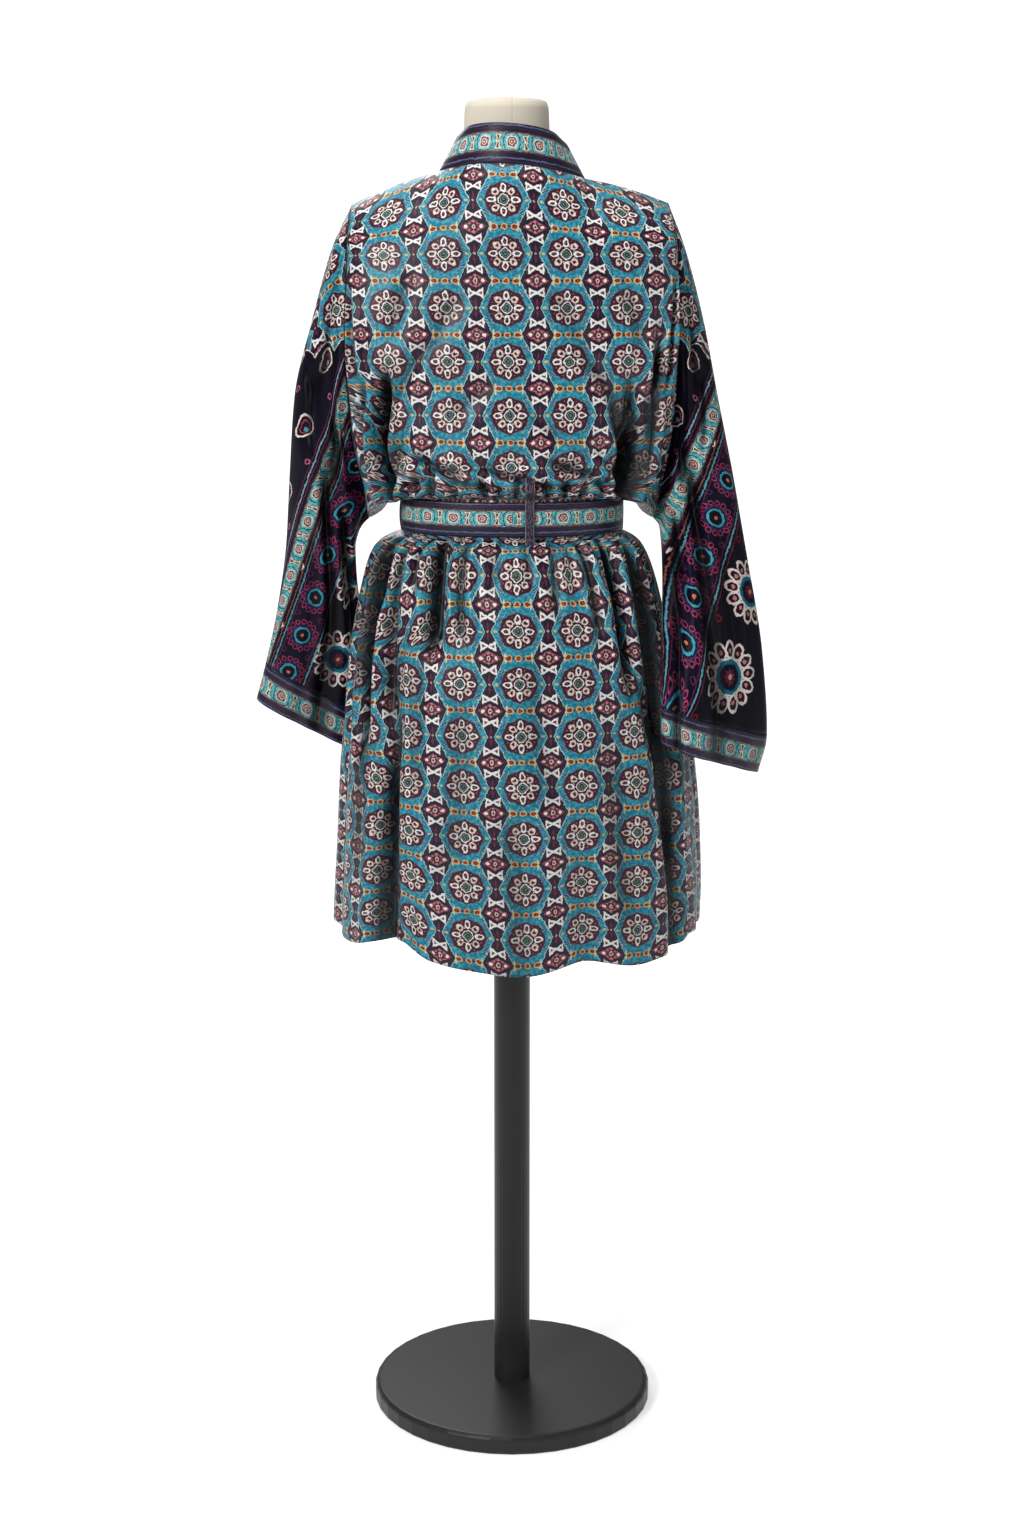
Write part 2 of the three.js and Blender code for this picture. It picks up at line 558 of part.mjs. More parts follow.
function neckband() {
  const neckTurn = turnAt(neckHalf, 0);
  const half = (side) => {
    const { sign } = shoulders[side];
    const rows = [];
    for (let i = 0; i <= columnsToNeck; i += 1) {
      const place = i / columnsToNeck;
      rows.push({ place, seam: backPoint(sign * neckTurn * place, { share: 0 }) });
    }
    for (const level of [...bodyLevels.slice(1, yokeShares.length), { drop: 0 }]) {
      rows.push({ place: 1 + (level.share ?? 1), seam: frontPoint(side, 0, level) });
    }
    return rows.map(({ place, seam }) => {
      const stand = (column) => read(neckbandRows, 'place', place, column);
      const away = new THREE.Vector3(sign * stand('x'), stand('y'), stand('z')).normalize();
      const last = place === 2;
      return bandShares.map((share) => {
        if (last) return frontBandPoint(side, share, 0.6);
        return seam.clone().addScaledVector(away, seamGap + share * stand('width'));
      });
    });
  };
  const left = half('left');
  const right = half('right');
  return clothWallGeometry([...flip(left), ...right.slice(1)], clothWall);
}

// The belt runs round the waist outside both fronts
function beltRing(z, lift) {
  const drop = (beltTopDrop + beltEndDrop) / 2;
  return Array.from({ length: beltSegments }, (_, i) => {
    const angle = (360 * i) / beltSegments;
    const back = Math.cos(radians(angle)) >= 0;
    const turn = Math.asin(Math.sin(radians(angle))) / (Math.PI / 2);
    const over = frontLap * ease((angle - 90) / 60) * ease((270 - angle) / 60);
    const point = bodyPoint(back ? 'back' : 'front', turn, drop, lift + over);
    point.z = z;
    return point;
  });
}

function belt() {
  const lift = beltEase + bandWall;
  const middle = (beltTop + beltBottom) / 2;
  const rings = [beltRing(beltTop, lift), beltRing(middle, lift + 0.4), beltRing(beltBottom, lift)];
  return clothWallGeometry(rings.map(flip), bandWall, { loop: true });
}

// A narrow strip along a path of places, each with its outward direction
function strap(path, width, thick) {
  const rows = path.map(({ at, across }) => [
    at.clone().addScaledVector(across, -width / 2),
    at.clone().addScaledVector(across, width / 2),
  ]);
  return clothWallGeometry(rows, thick);
}

function beltBackLoop() {
  const { x, width, wall } = backLoop;
  const across = new THREE.Vector3(-1, 0, 0);
  const bodyAt = (drop, lift) => bodyPoint('back', turnAt(x, drop), drop, lift);
  const beltFace = bodyAt(340, 0).y + beltEase + bandWall + 0.4;
  const clear = wall + seamGap * 4;
  const path = [
    bodyAt(242, clear),
    bodyAt(262, clear),
    bodyAt(280, clear),
    new THREE.Vector3(x, beltFace + clear + 1, beltTop + 1),
    new THREE.Vector3(x, beltFace + clear, (beltTop + beltBottom) / 2),
    new THREE.Vector3(x, beltFace + clear, beltBottom + 2),
    bodyAt(372, clear),
  ];
  return strap(path.map((at) => ({ at, across })), width, wall);
}

function beltSideLoop() {
  const { angle, width, wall } = sideLoop;
  const turn = angle / 90;
  const across = new THREE.Vector3(-Math.cos(radians(angle)), Math.sin(radians(angle)), 0);
  const beltFace = beltEase + bandWall + wall + 0.5;
  const onBelt = (z, lift) => {
    const point = bodyPoint('back', turn, 340, lift);
    point.z = z;
    return point;
  };
  const path = [
    onBelt(beltTop - 1, beltFace),
    onBelt(beltTop - 14, beltFace + 1.5),
    onBelt(beltBottom + 12, beltFace + 1.5),
    onBelt(beltBottom + 1, beltFace),
  ];
  return strap(path.map((at) => ({ at, across })), width, wall);
}

// A rounded block: a ball whose points are pushed towards the faces of a box
function roundedBlock(width, depth, height, power) {
  const ball = new THREE.SphereGeometry(1, 18, 12);
  const place = ball.attributes.position;
  const push = (value) => Math.sign(value) * Math.abs(value) ** power;
  for (let i = 0; i < place.count; i += 1) {
    const x = (push(place.getX(i)) * width) / 2;
    const y = (push(place.getY(i)) * height) / 2;
    const z = (push(place.getZ(i)) * depth) / 2;
    place.setXYZ(i, x, -z, y);
  }
  return ball;
}

const beltFrontFace = -(read(bodyRows, 'drop', 340, 'front') + frontLap + beltEase + bandWall + 0.4);

function beltTail({ fromX, toX, endZ, width, over }) {
  const startZ = knot.z - knot.height / 2 - seamGap;
  const steps = 12;
  const across = new THREE.Vector3(1, 0, 0);
  const path = Array.from({ length: steps + 1 }, (_, i) => {
    const z = lerp(startZ, endZ, i / steps);
    const x = lerp(fromX, toX, ease(i / steps));
    let drop = beltEndDrop;
    while (drop < hemDrop && read(bodyRows, 'drop', drop, 'frontZ') > z) drop += 1;
    const lift = frontLap + seamGap * 2 + bandWall + 1.2;
    const envelope = read(bodyRows, 'drop', drop, 'front') + lift;
    const y = -Math.max(envelope, -beltFrontFace + bandWall + 3) - over;
    return { at: new THREE.Vector3(x, y, z), across };
  });
  return strap(path, width, bandWall);
}

// The stand
function dressForm() {
  const points = [new THREE.Vector3(0, 0, formRows[0].z)];
  const shift = (z) => neckShift * ease((z - neckShiftStart) / neckShiftHeight);
  for (const { z, side, back, front } of formRows) {
    for (let j = 0; j < formSegments; j += 1) {
      const angle = (2 * Math.PI * j) / formSegments;
      const depth = Math.cos(angle) >= 0 ? back : front;
      points.push(new THREE.Vector3(shift(z) - side * Math.sin(angle), depth * Math.cos(angle), z));
    }
  }
  points.push(new THREE.Vector3(neckShift, -6, formRows[formRows.length - 1].z + 0.6));
  const faces = [];
  const at = (i, j) => 1 + i * formSegments + (j % formSegments);
  const top = points.length - 1;
  for (let j = 0; j < formSegments; j += 1) {
    faces.push(0, at(0, j + 1), at(0, j));
    faces.push(top, at(formRows.length - 1, j), at(formRows.length - 1, j + 1));
    for (let i = 0; i < formRows.length - 1; i += 1) {
      faces.push(at(i, j), at(i, j + 1), at(i + 1, j + 1));
      faces.push(at(i, j), at(i + 1, j + 1), at(i + 1, j));
    }
  }
  return meshGeometry(points, faces);
}

function pole() {
  const low = baseThick + seamGap;
  const high = formRows[0].z - seamGap;
  const tube = new THREE.CylinderGeometry(poleRadius, poleRadius, high - low, 24);
  return tube.rotateX(Math.PI / 2).translate(0, 0, (low + high) / 2);
}

function base() {
  const chamfer = 2;
  const profile = [[0, 0], [baseRadius - chamfer, 0], [baseRadius, chamfer]].map((p) => new THREE.Vector2(...p));
  for (let i = 0; i <= 4; i += 1) {
    const angle = (Math.PI / 8) * i;
    profile.push(
      new THREE.Vector2(
        baseRadius - baseEdge * (1 - Math.cos(angle)),
        baseThick - baseEdge * (1 - Math.sin(angle)),
      ),
    );
  }
  profile.push(new THREE.Vector2(0, baseThick));
  return new THREE.LatheGeometry(profile, 40).rotateX(Math.PI / 2);
}

// Finishes and the finished scene
const finishes = {
  printedCloth: { color: '#3c6f78', roughness: 0.5, metalness: 0 },
  sleeveCloth: { color: '#2b2440', roughness: 0.5, metalness: 0 },
  borderCloth: { color: '#2f5f72', roughness: 0.45, metalness: 0 },
  loopCloth: { color: '#241f3a', roughness: 0.6, metalness: 0 },
  formCover: { color: '#eee6d8', roughness: 0.9, metalness: 0 },
  blackCoat: { color: '#1b1b1c', roughness: 0.45, metalness: 0.2 },
};

const jacket = new THREE.Group();

function add(name, geometry, finish) {
  const material = new THREE.MeshStandardMaterial({ ...finishes[finish], side: THREE.DoubleSide });
  const mesh = new THREE.Mesh(geometry, material);
  mesh.name = name;
  jacket.add(mesh);
  return mesh;
}

add('back_panel', backPanel(), 'printedCloth');
for (const side of ['left', 'right']) {
  add(`front_${side}`, frontPanel(side), 'printedCloth');
  add(`sleeve_${side}`, sleeve(side), 'sleeveCloth');
  add(`cuff_${side}`, cuff(side), 'borderCloth');
  add(`band_${side}`, frontBand(side), 'borderCloth');
}
add('neckband', neckband(), 'borderCloth');
add('belt', belt(), 'borderCloth');
add('belt_loop_back', beltBackLoop(), 'loopCloth');
add('belt_loop_side', beltSideLoop(), 'loopCloth');
const block = add('belt_knot', roundedBlock(knot.width, knot.depth, knot.height, 0.55), 'borderCloth');
block.position.set(knot.x, beltFrontFace - knot.depth / 2 - seamGap, knot.z);
for (const tail of tails) add(tail.name, beltTail(tail), 'borderCloth');
add('dress_form', dressForm(), 'formCover');
add('pole', pole(), 'blackCoat');
add('base', base(), 'blackCoat');

export default jacket;
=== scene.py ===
# %% [markdown]
# # Long kimono jacket on a dress form stand
#
# This script takes the parts of a CAD model and gives them cloth, print, light and a camera.
# The jacket's back faces +Y, which is the side that the photograph shows, and its front faces -Y.
# Sizes in the tables are millimetres, as in the CAD source, and they become metres when a mesh is made.

import functools
import math

import bpy
import numpy as np
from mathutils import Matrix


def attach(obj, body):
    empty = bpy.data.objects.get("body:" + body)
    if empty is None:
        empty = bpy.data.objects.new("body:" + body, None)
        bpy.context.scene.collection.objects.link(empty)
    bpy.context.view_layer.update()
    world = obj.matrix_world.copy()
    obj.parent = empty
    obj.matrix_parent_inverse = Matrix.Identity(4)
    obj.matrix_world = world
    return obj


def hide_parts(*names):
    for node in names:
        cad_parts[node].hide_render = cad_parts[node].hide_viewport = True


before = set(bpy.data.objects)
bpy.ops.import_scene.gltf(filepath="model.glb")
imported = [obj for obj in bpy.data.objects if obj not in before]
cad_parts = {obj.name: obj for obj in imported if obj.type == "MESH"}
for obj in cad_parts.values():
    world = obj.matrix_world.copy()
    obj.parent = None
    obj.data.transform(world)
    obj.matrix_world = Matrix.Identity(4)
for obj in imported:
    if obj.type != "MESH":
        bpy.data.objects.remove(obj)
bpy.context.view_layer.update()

# %% [markdown]
# ## The cloth as tables
#
# The jacket is cut from straight, flat panels, and the belt gathers them at the waist. A cloth simulation
# could find a hang, but not the hang of this one jacket. So each level of the body is a row: how far down
# the cloth it is (drop), how high it hangs at the back, the side and the front, and how wide and deep the
# body is there. A curve through the rows gives every level between them.

# %% Sizes
CLOTH = 1.6
BAND = 2.2
SEAM_GAP = 0.3
FRONT_LAP = 4.0
BAND_WIDTH = 45
NECK_HALF = 84
NECK_SEAM_BACK = 66
NECK_RISE = 11
SHOULDER_Y = -4
SHOULDER_CROWN = 3
SHOULDERS = {
    "left": {"sign": 1, "tip": 182, "tip_z": 1457, "neck_z": 1493},
    "right": {"sign": -1, "tip": 178, "tip_z": 1458, "neck_z": 1485},
}


def table(columns, *rows):
    """A table as a dictionary of columns."""
    return dict(zip(columns.split(), np.array(rows, float).T))


BODY = table(
    "drop back_z side_z front_z left right slot back front",
    (0, 1395, 1395, 1395, 186, 187, 50, 92, 84),
    (95, 1300, 1300, 1300, 187, 188, 58, 101, 114),
    (165, 1230, 1230, 1232, 183, 184, 46, 107, 119),
    (215, 1180, 1176, 1186, 178, 178, 30, 113, 120),
    (245, 1154, 1140, 1160, 172, 172, 15, 114, 116),
    (262, 1142, 1118, 1151, 170, 169, 6, 112, 112),
    (280, 1135, 1100, 1143, 166, 164, 0, 107, 107),
    (292, 1133, 1108, 1138, 152, 151, 0, 102.5, 103),
    (304, 1132.5, 1126, 1134, 138, 138, 0, 99, 99.5),
    (312, 1132, 1133, 1131.5, 129.5, 129.5, 0, 96.8, 97.2),
    (318, 1130, 1130, 1129.5, 126.6, 126.6, 0, 95, 95),
    (358, 1086, 1086, 1086, 126.6, 126.6, 0, 95, 95),
    (372, 1080, 1081, 1081, 141, 138, 0, 104, 100),
    (390, 1070, 1071, 1070, 157, 150, 0, 115, 108),
    (432, 1027, 1027, 1028, 172, 169, 0, 129, 126),
    (502, 956, 956, 956, 186, 186, 0, 139, 138),
    (588, 870, 870, 870, 197, 201, 0, 148, 147),
    (648, 811, 811, 811, 204, 218, 0, 153, 151),
    (746, 713, 713, 713, 209, 226, 0, 159, 157),
    (821, 638, 638, 638, 213, 228, 0, 163, 161),
    (868, 590, 590, 590, 215, 227, 0, 166, 163),
)
BELT_DROP = 338
HEM_DROP = 868
HEM_LIFT_START = 600
FRONT_SEAM = table(
    "drop x",
    (0, 68),
    (95, 40),
    (165, 16),
    (245, -8),
    (318, -20),
    (358, -22),
    (502, -26),
    (868, -28),
)
HEM = table(
    "angle rise",
    (-180, 12),
    (-150, 9),
    (-118, 20),
    (-69, 27),
    (-60, 19),
    (-40, 6),
    (-22, 15),
    (-2, 0),
    (15, 8),
    (26, 16),
    (38, 35),
    (50, 28),
    (62, 21),
    (84, 31),
    (120, 22),
    (152, 8),
    (180, 12),
)
print("cloth", CLOTH, "mm thick, the body in", len(BODY["drop"]), "rows")

# %% [markdown]
# ## Folds
#
# Satin falls in soft folds where the belt gathers it and where the sleeves pull at it. They could be
# sculpted on the mesh by hand. Here each fold is a row, a soft trough from one place on the cloth to
# another, because a row is easy to move and to keep clear of the form. Angle 0 is the middle of the back,
# 90 the wearer's left side and 180 the front. The first table is the CAD model's, the second adds creases
# that are too fine for it, and the third says where one layer shades the other, which the print gets as
# painted shade. A negative depth is a ridge.

# %% Fold tables
MM_PER_DEGREE = 2.9
FOLD_COLUMNS = "start top end bottom depth width"
CREASE_COLUMNS = FOLD_COLUMNS + " bow"
BODY_FOLDS = table(
    FOLD_COLUMNS,
    (50, 110, 61, 285, 25, 13),
    (40, 175, 49, 268, 8, 9),
    (24, 190, 40, 232, 6, 9),
    (-12, 214, 20, 232, 5, 9),
    (-36, 208, -10, 246, 6, 9),
    (-46, 115, -55, 282, 24, 13),
    (-32, 180, -42, 262, 7, 9),
    (66, 60, 58, 190, 6, 11),
    (-68, 50, -58, 170, 6, 11),
    (126, 120, 122, 285, 20, 13),
    (-128, 120, -123, 285, 20, 13),
    (150, 190, 154, 300, 6, 10),
    (-152, 185, -157, 300, 6, 10),
    (15, 355, 13, 440, 6, 10),
    (32, 352, 27, 520, 14, 12),
    (49, 352, 38, 1000, 14, 15),
    (64, 352, 60, 640, 14, 12),
    (78, 360, 76, 1000, 9, 14),
    (-27, 352, -26, 450, 6, 10),
    (-45, 352, -47, 560, 12, 12),
    (-61, 352, -56, 700, 17, 14),
    (-47, 600, -66, 900, 9, 14),
    (-20, 640, -26, 1100, 9, 17),
    (8, 660, 5, 1150, 5, 18),
    (-80, 360, -83, 1000, 10, 14),
    (97, 360, 99, 1000, 12, 14),
    (116, 352, 120, 1000, 14, 14),
    (136, 352, 140, 620, 10, 12),
    (152, 352, 158, 1000, 8, 14),
    (-99, 360, -102, 1000, 12, 14),
    (-118, 352, -122, 1000, 14, 14),
    (-138, 352, -142, 640, 10, 12),
    (-156, 352, -160, 1000, 7, 14),
)
BODY_CREASES = table(
    CREASE_COLUMNS,
    # The joins of the sleeves
    (88, -6, 86, 270, 11, 7, -4),
    (-88, -6, -87, 120, 8, 7, 0),
    (-88, 100, -82, 262, 7, 8, 4),
    (79, 20, 68, 165, 5, 9, 5),
    (-79, 10, -66, 170, 7, 8, -5),
    # The deep folds beside the arms
    (50, 112, 58, 300, 17, 9, 6),
    (54, 150, 59, 304, 16, 12, 3),
    (64, 110, 73, 285, 8, 8, 4),
    (43, 186, 55, 296, 12, 7, 5),
    (34, 228, 50, 298, 9, 7, 4),
    (-38, 150, -50, 300, 15, 10, -6),
    (-46, 170, -53, 304, 17, 14, -3),
    (-56, 120, -58, 296, 10, 9, -4),
    (-60, 60, -64, 285, 9, 8, -4),
    (-33, 196, -50, 292, 11, 8, -6),
    (-26, 232, -46, 288, 8, 7, -5),
    (28, 84, 46, 170, 5, 9, 6),
    (-22, 96, -44, 186, 5, 10, -6),
    (36, 10, 47, 96, 4, 10, 5),
    (-40, 20, -52, 110, 4, 10, -5),
    (16, 30, 30, 120, 3, 11, 6),
    (-10, 24, -27, 110, 2.8, 11, -6),
    (4, 130, 22, 176, 3, 10, 4),
    (-4, 168, -20, 206, 3, 9, -4),
    # The blouse over the belt
    (42, 206, 15, 238, 8, 6, 8),
    (14, 222, -12, 244, 7, 6, 7),
    (-11, 214, -38, 234, 8, 6, 9),
    (28, 238, 2, 262, 7, 6, 5),
    (-3, 248, -29, 258, 7, 6, 4),
    (49, 232, 34, 262, 8, 6, 5),
    (-33, 242, -50, 262, 8, 6, 5),
    (31, 222, 35, 318, 10, 5, 0),
    (23, 240, 20, 316, 8, 5, 3),
    (13, 226, 10, 318, 9, 5, -3),
    (4, 244, 6, 316, 7, 4.5, 0),
    (-4, 232, -1, 318, 8, 5, 2),
    (-13, 240, -16, 318, 9, 5, 0),
    (-21, 230, -20, 316, 8, 5, -3),
    (-30, 236, -27, 318, 9, 5, 0),
    (-39, 240, -36, 318, 9, 5, 0),
    # The gathers under the belt
    (4, 346, 8, 440, 5, 6, 3),
    (11, 348, 10, 410, 4, 4.5, 0),
    (20, 346, 17, 500, 7, 6, 5),
    (27, 348, 26, 420, 6, 5, 0),
    (36, 346, 31, 520, 12, 8, -7),
    (43, 348, 42, 440, 7, 5, 0),
    (52, 346, 47, 600, 12, 8, 8),
    (59, 348, 58, 470, 8, 6, 0),
    (67, 346, 62, 640, 14, 9, -5),
    (76, 348, 78, 620, 12, 9, 4),
    (-6, 348, -7, 430, 4.5, 5, 0),
    (-13, 350, -13, 405, 4, 4.5, 0),
    (-20, 346, -17, 470, 6, 6, 3),
    (-31, 346, -33, 500, 8, 6, -4),
    (-39, 348, -41, 440, 6, 5, 0),
    (-48, 346, -46, 580, 12, 8, 5),
    (-57, 348, -57, 470, 8, 6, 0),
    (-64, 346, -60, 640, 14, 9, -5),
    (-74, 348, -73, 660, 12, 9, 3),
    # The open skirt
    (34, 480, 30, 690, 3.5, 12, 6),
    (18, 520, 24, 800, 3, 14, -7),
    (-8, 480, -13, 700, 3, 13, 6),
    (-33, 560, -38, 860, 4.5, 13, 6),
    (3, 640, -2, 930, 3.5, 13, -5),
    (43, 540, 41, 1060, 13, 8, 5),
    (47, 600, 49, 1040, 10, 9, 0),
    (-57, 560, -60, 1060, 10, 9, 5),
    (-48, 470, -55, 800, 6, 9, -5),
    # The hidden sides and the front
    (90, 356, 92, 560, 8, 7, 4),
    (107, 354, 110, 560, 8, 7, -4),
    (116, 356, 117, 430, 5, 5, 0),
    (127, 354, 131, 500, 7, 6, 3),
    (145, 354, 149, 520, 7, 6, -4),
    (160, 356, 163, 440, 4, 5, 0),
    (-90, 356, -92, 560, 8, 7, 4),
    (-108, 354, -112, 560, 8, 7, -4),
    (-118, 356, -119, 430, 5, 5, 0),
    (-128, 354, -132, 500, 7, 6, 3),
    (-147, 354, -151, 520, 7, 6, -4),
    (104, 500, 101, 900, 5, 12, 6),
    (-106, 520, -101, 900, 5, 12, -6),
    (-130, 560, -138, 930, 5, 13, 5),
    (132, 560, 138, 930, 5, 13, -5),
    (99, 20, 108, 170, 6, 9, 5),
    (-99, 20, -108, 170, 6, 9, -5),
    (120, 135, 117, 290, 9, 8, 4),
    (-122, 135, -118, 290, 9, 8, -4),
    (140, 236, 158, 262, 5, 7, 5),
    (-141, 236, -160, 262, 5, 7, 5),
    (135, 252, 133, 304, 5, 5, 0),
    (148, 256, 149, 304, 4.5, 5, 0),
    (-137, 252, -135, 304, 5, 5, 0),
    (-150, 256, -151, 304, 4.5, 5, 0),
)
# Painted shade: where hardly any light gets in, because one layer stands over the other, the print is
# painted dark. Depth is a share from 0 to 1.
BODY_SHADOWS = table(
    CREASE_COLUMNS,
    (47, 100, 57, 300, 1.0, 16, 4),
    (-46, 150, -52, 300, 1.0, 21, -4),
    (-64, 70, -60, 280, 0.7, 12, 0),
    (70, 336, 65, 580, 1.0, 17, 0),
    (84, 340, 84, 520, 0.7, 14, 0),
    (60, 560, 59, 800, 0.75, 15, 0),
    (-67, 380, -57, 700, 1.1, 18, 0),
    (-57, 640, -55, 820, 0.7, 14, 0),
    (-84, 340, -84, 560, 0.8, 16, 0),
)
print(len(BODY_FOLDS["depth"]), "folds and", len(BODY_CREASES["depth"]), "finer creases on the body")

# %% [markdown]
# ## Curves and troughs
#
# Cloth is smooth between two rows of a table. A plain spline could swing past a row and make a bulge that
# isn't there, so the curve's slopes are held back where the rows turn, and a waist stays a waist. A fold's
# section is a bell curve that fades at both of its ends.

# %% Curves and troughs


def clamp01(t):
    return np.clip(t, 0.0, 1.0)


def ease(t):
    t = clamp01(t)
    return t * t * (3 - 2 * t)


def read(rows, key, place, column):
    """A column of a table between its rows, on a smooth curve that never overshoots a row."""
    x, y = rows[key], rows[column]
    slope = np.diff(y) / np.diff(x)
    before, after = slope[:-1], slope[1:]
    total = np.where(before + after == 0, 1, before + after)
    inner = np.where(before * after <= 0, 0, 2 * before * after / total)
    tangent = np.concatenate([[slope[0]], inner, [slope[-1]]])
    place = np.clip(np.asarray(place, float), x[0], x[-1])
    i = np.clip(np.searchsorted(x, place, side="right") - 1, 0, len(x) - 2)
    span = x[i + 1] - x[i]
    t = (place - x[i]) / span
    ends = y[i] * (1 + 2 * t) * (1 - t) ** 2 + y[i + 1] * t * t * (3 - 2 * t)
    return ends + span * (tangent[i] * t * (1 - t) ** 2 + tangent[i + 1] * t * t * (t - 1))


def fold_depth(folds, angle, place, mm_per_angle, mm_per_place):
    """How deep the folds of a table are at each place. A fold with a bow has a curved path, and the cloth
    beside it stands up a little as a lip."""
    depth = np.zeros(np.broadcast(angle, place).shape)
    bows = folds.get("bow", np.zeros(len(folds["depth"])))
    lip = 0.3 if "bow" in folds else 0.0
    columns = [folds[name] for name in FOLD_COLUMNS.split()]
    for start, top, end, bottom, deep, width, bow in zip(*columns, bows):
        run_x = (end - start) * mm_per_angle
        run_y = (bottom - top) * mm_per_place
        x = (angle - start) * mm_per_angle
        y = (place - top) * mm_per_place
        length = math.hypot(run_x, run_y)
        along = (x * run_x + y * run_y) / length**2
        away = (x * run_y - y * run_x) / length - bow * 4 * clamp01(along) * (1 - clamp01(along))
        ends = ease(along / 0.28) * ease((1 - along) / 0.28)
        beside = (np.abs(away) - 1.9 * width) / width
        depth += deep * ends * (np.exp(-((away / width) ** 2)) - lip * np.exp(-(beside**2)))
    return depth


waist = [float(read(BODY, "drop", BELT_DROP, side)) for side in ("left", "right")]
print("waist", round(sum(waist)), "mm wide")

# %% [markdown]
# ## Points of the body
#
# The body is a tube of cloth round a dress form, in section an ellipse that is a little squared. It could be
# lofted from drawn sections. Worked out as a function, it can be asked for any point, so bands, belt and
# loops lie on the same surface. Turn runs from -1 to 1 across the back or the front. The two halves stand
# apart by a slot where the armholes are.

# %% Body points
# These set the painted shade: where the sleeve's join stops being painted dark, how wide that is, and how
# deep a crease or fold must be before its painted shade is full.
JOIN_END_LEFT, JOIN_END_RIGHT, JOIN_WIDTH, JOIN_FADE = 300, 150, 20, 50
CREASE_DARK, FOLD_PALE, FOLD_DARK = 7, 5, 13
SECTION_SQUARENESS, HANG_POWER = 0.86, 3


def around_of(half, turn):
    """The angle round the body, from the middle of the back."""
    return 90 * turn if half == "back" else np.where(turn >= 0, 180, -180) - 90 * turn


def body_shade(half, turn, level):
    """How much painted shade the print gets in the valleys of the folds, from 0 to 1. The sleeve's join is
    painted as one long dark valley.
    """
    turn, level = np.broadcast_arrays(turn, level)
    around, drop = around_of(half, turn), np.maximum(level, 0)
    folds = fold_depth(BODY_FOLDS, around, drop, MM_PER_DEGREE, 1)
    creases = fold_depth(BODY_CREASES, around, drop, MM_PER_DEGREE, 1)
    from_join = (90 - np.abs(90 * turn)) * MM_PER_DEGREE
    join_end = np.where(turn >= 0, JOIN_END_LEFT, JOIN_END_RIGHT)
    join = np.exp(-((from_join / JOIN_WIDTH) ** 4)) * ease((join_end - level) / JOIN_FADE)
    valleys = 0.95 * clamp01(creases / CREASE_DARK) + 0.75 * clamp01((folds - FOLD_PALE) / FOLD_DARK)
    valleys = valleys + fold_depth(BODY_SHADOWS, around, drop, MM_PER_DEGREE, 1)
    return clamp01(np.where(level < 0, 0, valleys) + join * ease((level + 1) / 0.5))


def body_side(toward, drop):
    """How far the body reaches out sideways, on the wearer's left where toward isn't negative."""
    return np.where(toward >= 0, read(BODY, "drop", drop, "left"), read(BODY, "drop", drop, "right"))


def body_point(half, turn, drop, lift=0.0):
    """Points of the body's outer face, in mm."""
    turn, drop, lift = np.broadcast_arrays(turn, drop, lift)
    side = body_side(turn, drop)
    slot = read(BODY, "drop", drop, "slot")
    depth = read(BODY, "drop", drop, half)
    angle = np.radians(90 * turn)
    facing = 1 if half == "back" else -1
    around = around_of(half, turn)
    inward = fold_depth(BODY_FOLDS, around, drop, MM_PER_DEGREE, 1)
    inward = inward + fold_depth(BODY_CREASES, around, drop, MM_PER_DEGREE, 1)
    x = side * np.sin(angle)
    y = slot + (depth - slot) * np.maximum(0, np.cos(angle)) ** SECTION_SQUARENESS
    out_x, out_y = x / side**2, y / depth**2
    size = np.hypot(out_x, out_y)
    move = lift - inward
    centre_z = read(BODY, "drop", drop, half + "_z")
    z = centre_z + (read(BODY, "drop", drop, "side_z") - centre_z) * np.abs(turn) ** HANG_POWER
    lift_share = clamp01((drop - HEM_LIFT_START) / (HEM_DROP - HEM_LIFT_START))
    z = z + lift_share**2 * read(HEM, "angle", around, "rise")
    return np.stack([x + out_x / size * move, facing * (y + out_y / size * move), z], -1)


def turn_at(x, drop):
    """The turn at which the body reaches a given x."""
    return np.arcsin(np.clip(x / body_side(np.asarray(x), drop), -1, 1)) / (math.pi / 2)


print("back of the belt at", np.round(body_point("back", 0.0, BELT_DROP), 1))

# %% [markdown]
# ## Shoulders and yoke
#
# Above the armholes the cloth rounds over the shoulder from the back to the front. It could be a patch of
# its own, with a seam that isn't there. So the rows of the body go on upwards, and each yoke point lies on a
# curve from the shoulder line down to the first body row. Between the neck points the line dips behind the
# neck, where the neckband is sewn on.

# %% Shoulders and yoke
NECK_SEAM_ROUND = 0.72


def shoulder(toward, key):
    """A size of the shoulder on the side that toward points to."""
    return np.where(toward >= 0, SHOULDERS["left"][key], SHOULDERS["right"][key])


def top_edge(x):
    """The shoulder line, and between the neck points the seam of the neckband."""
    x = np.asarray(x, float)
    left, right = SHOULDERS["left"], SHOULDERS["right"]
    tip, tip_z, neck_z = (shoulder(x, key) for key in ("tip", "tip_z", "neck_z"))
    reach = np.abs(x)
    t = (reach - NECK_HALF) / (tip - NECK_HALF)
    shoulder_z = neck_z + (tip_z - neck_z) * t + SHOULDER_CROWN * np.sin(np.pi * clamp01(t))
    opening = clamp01(1 - (reach / NECK_HALF) ** 2)
    on_shoulder = reach >= NECK_HALF
    y = np.where(on_shoulder, SHOULDER_Y, SHOULDER_Y + NECK_SEAM_BACK * opening**NECK_SEAM_ROUND)
    seam_z = right["neck_z"] + (left["neck_z"] - right["neck_z"]) * ease((x / NECK_HALF + 1) / 2)
    z = np.where(on_shoulder, shoulder_z, seam_z + NECK_RISE * opening)
    return np.stack([x, y, z], -1)


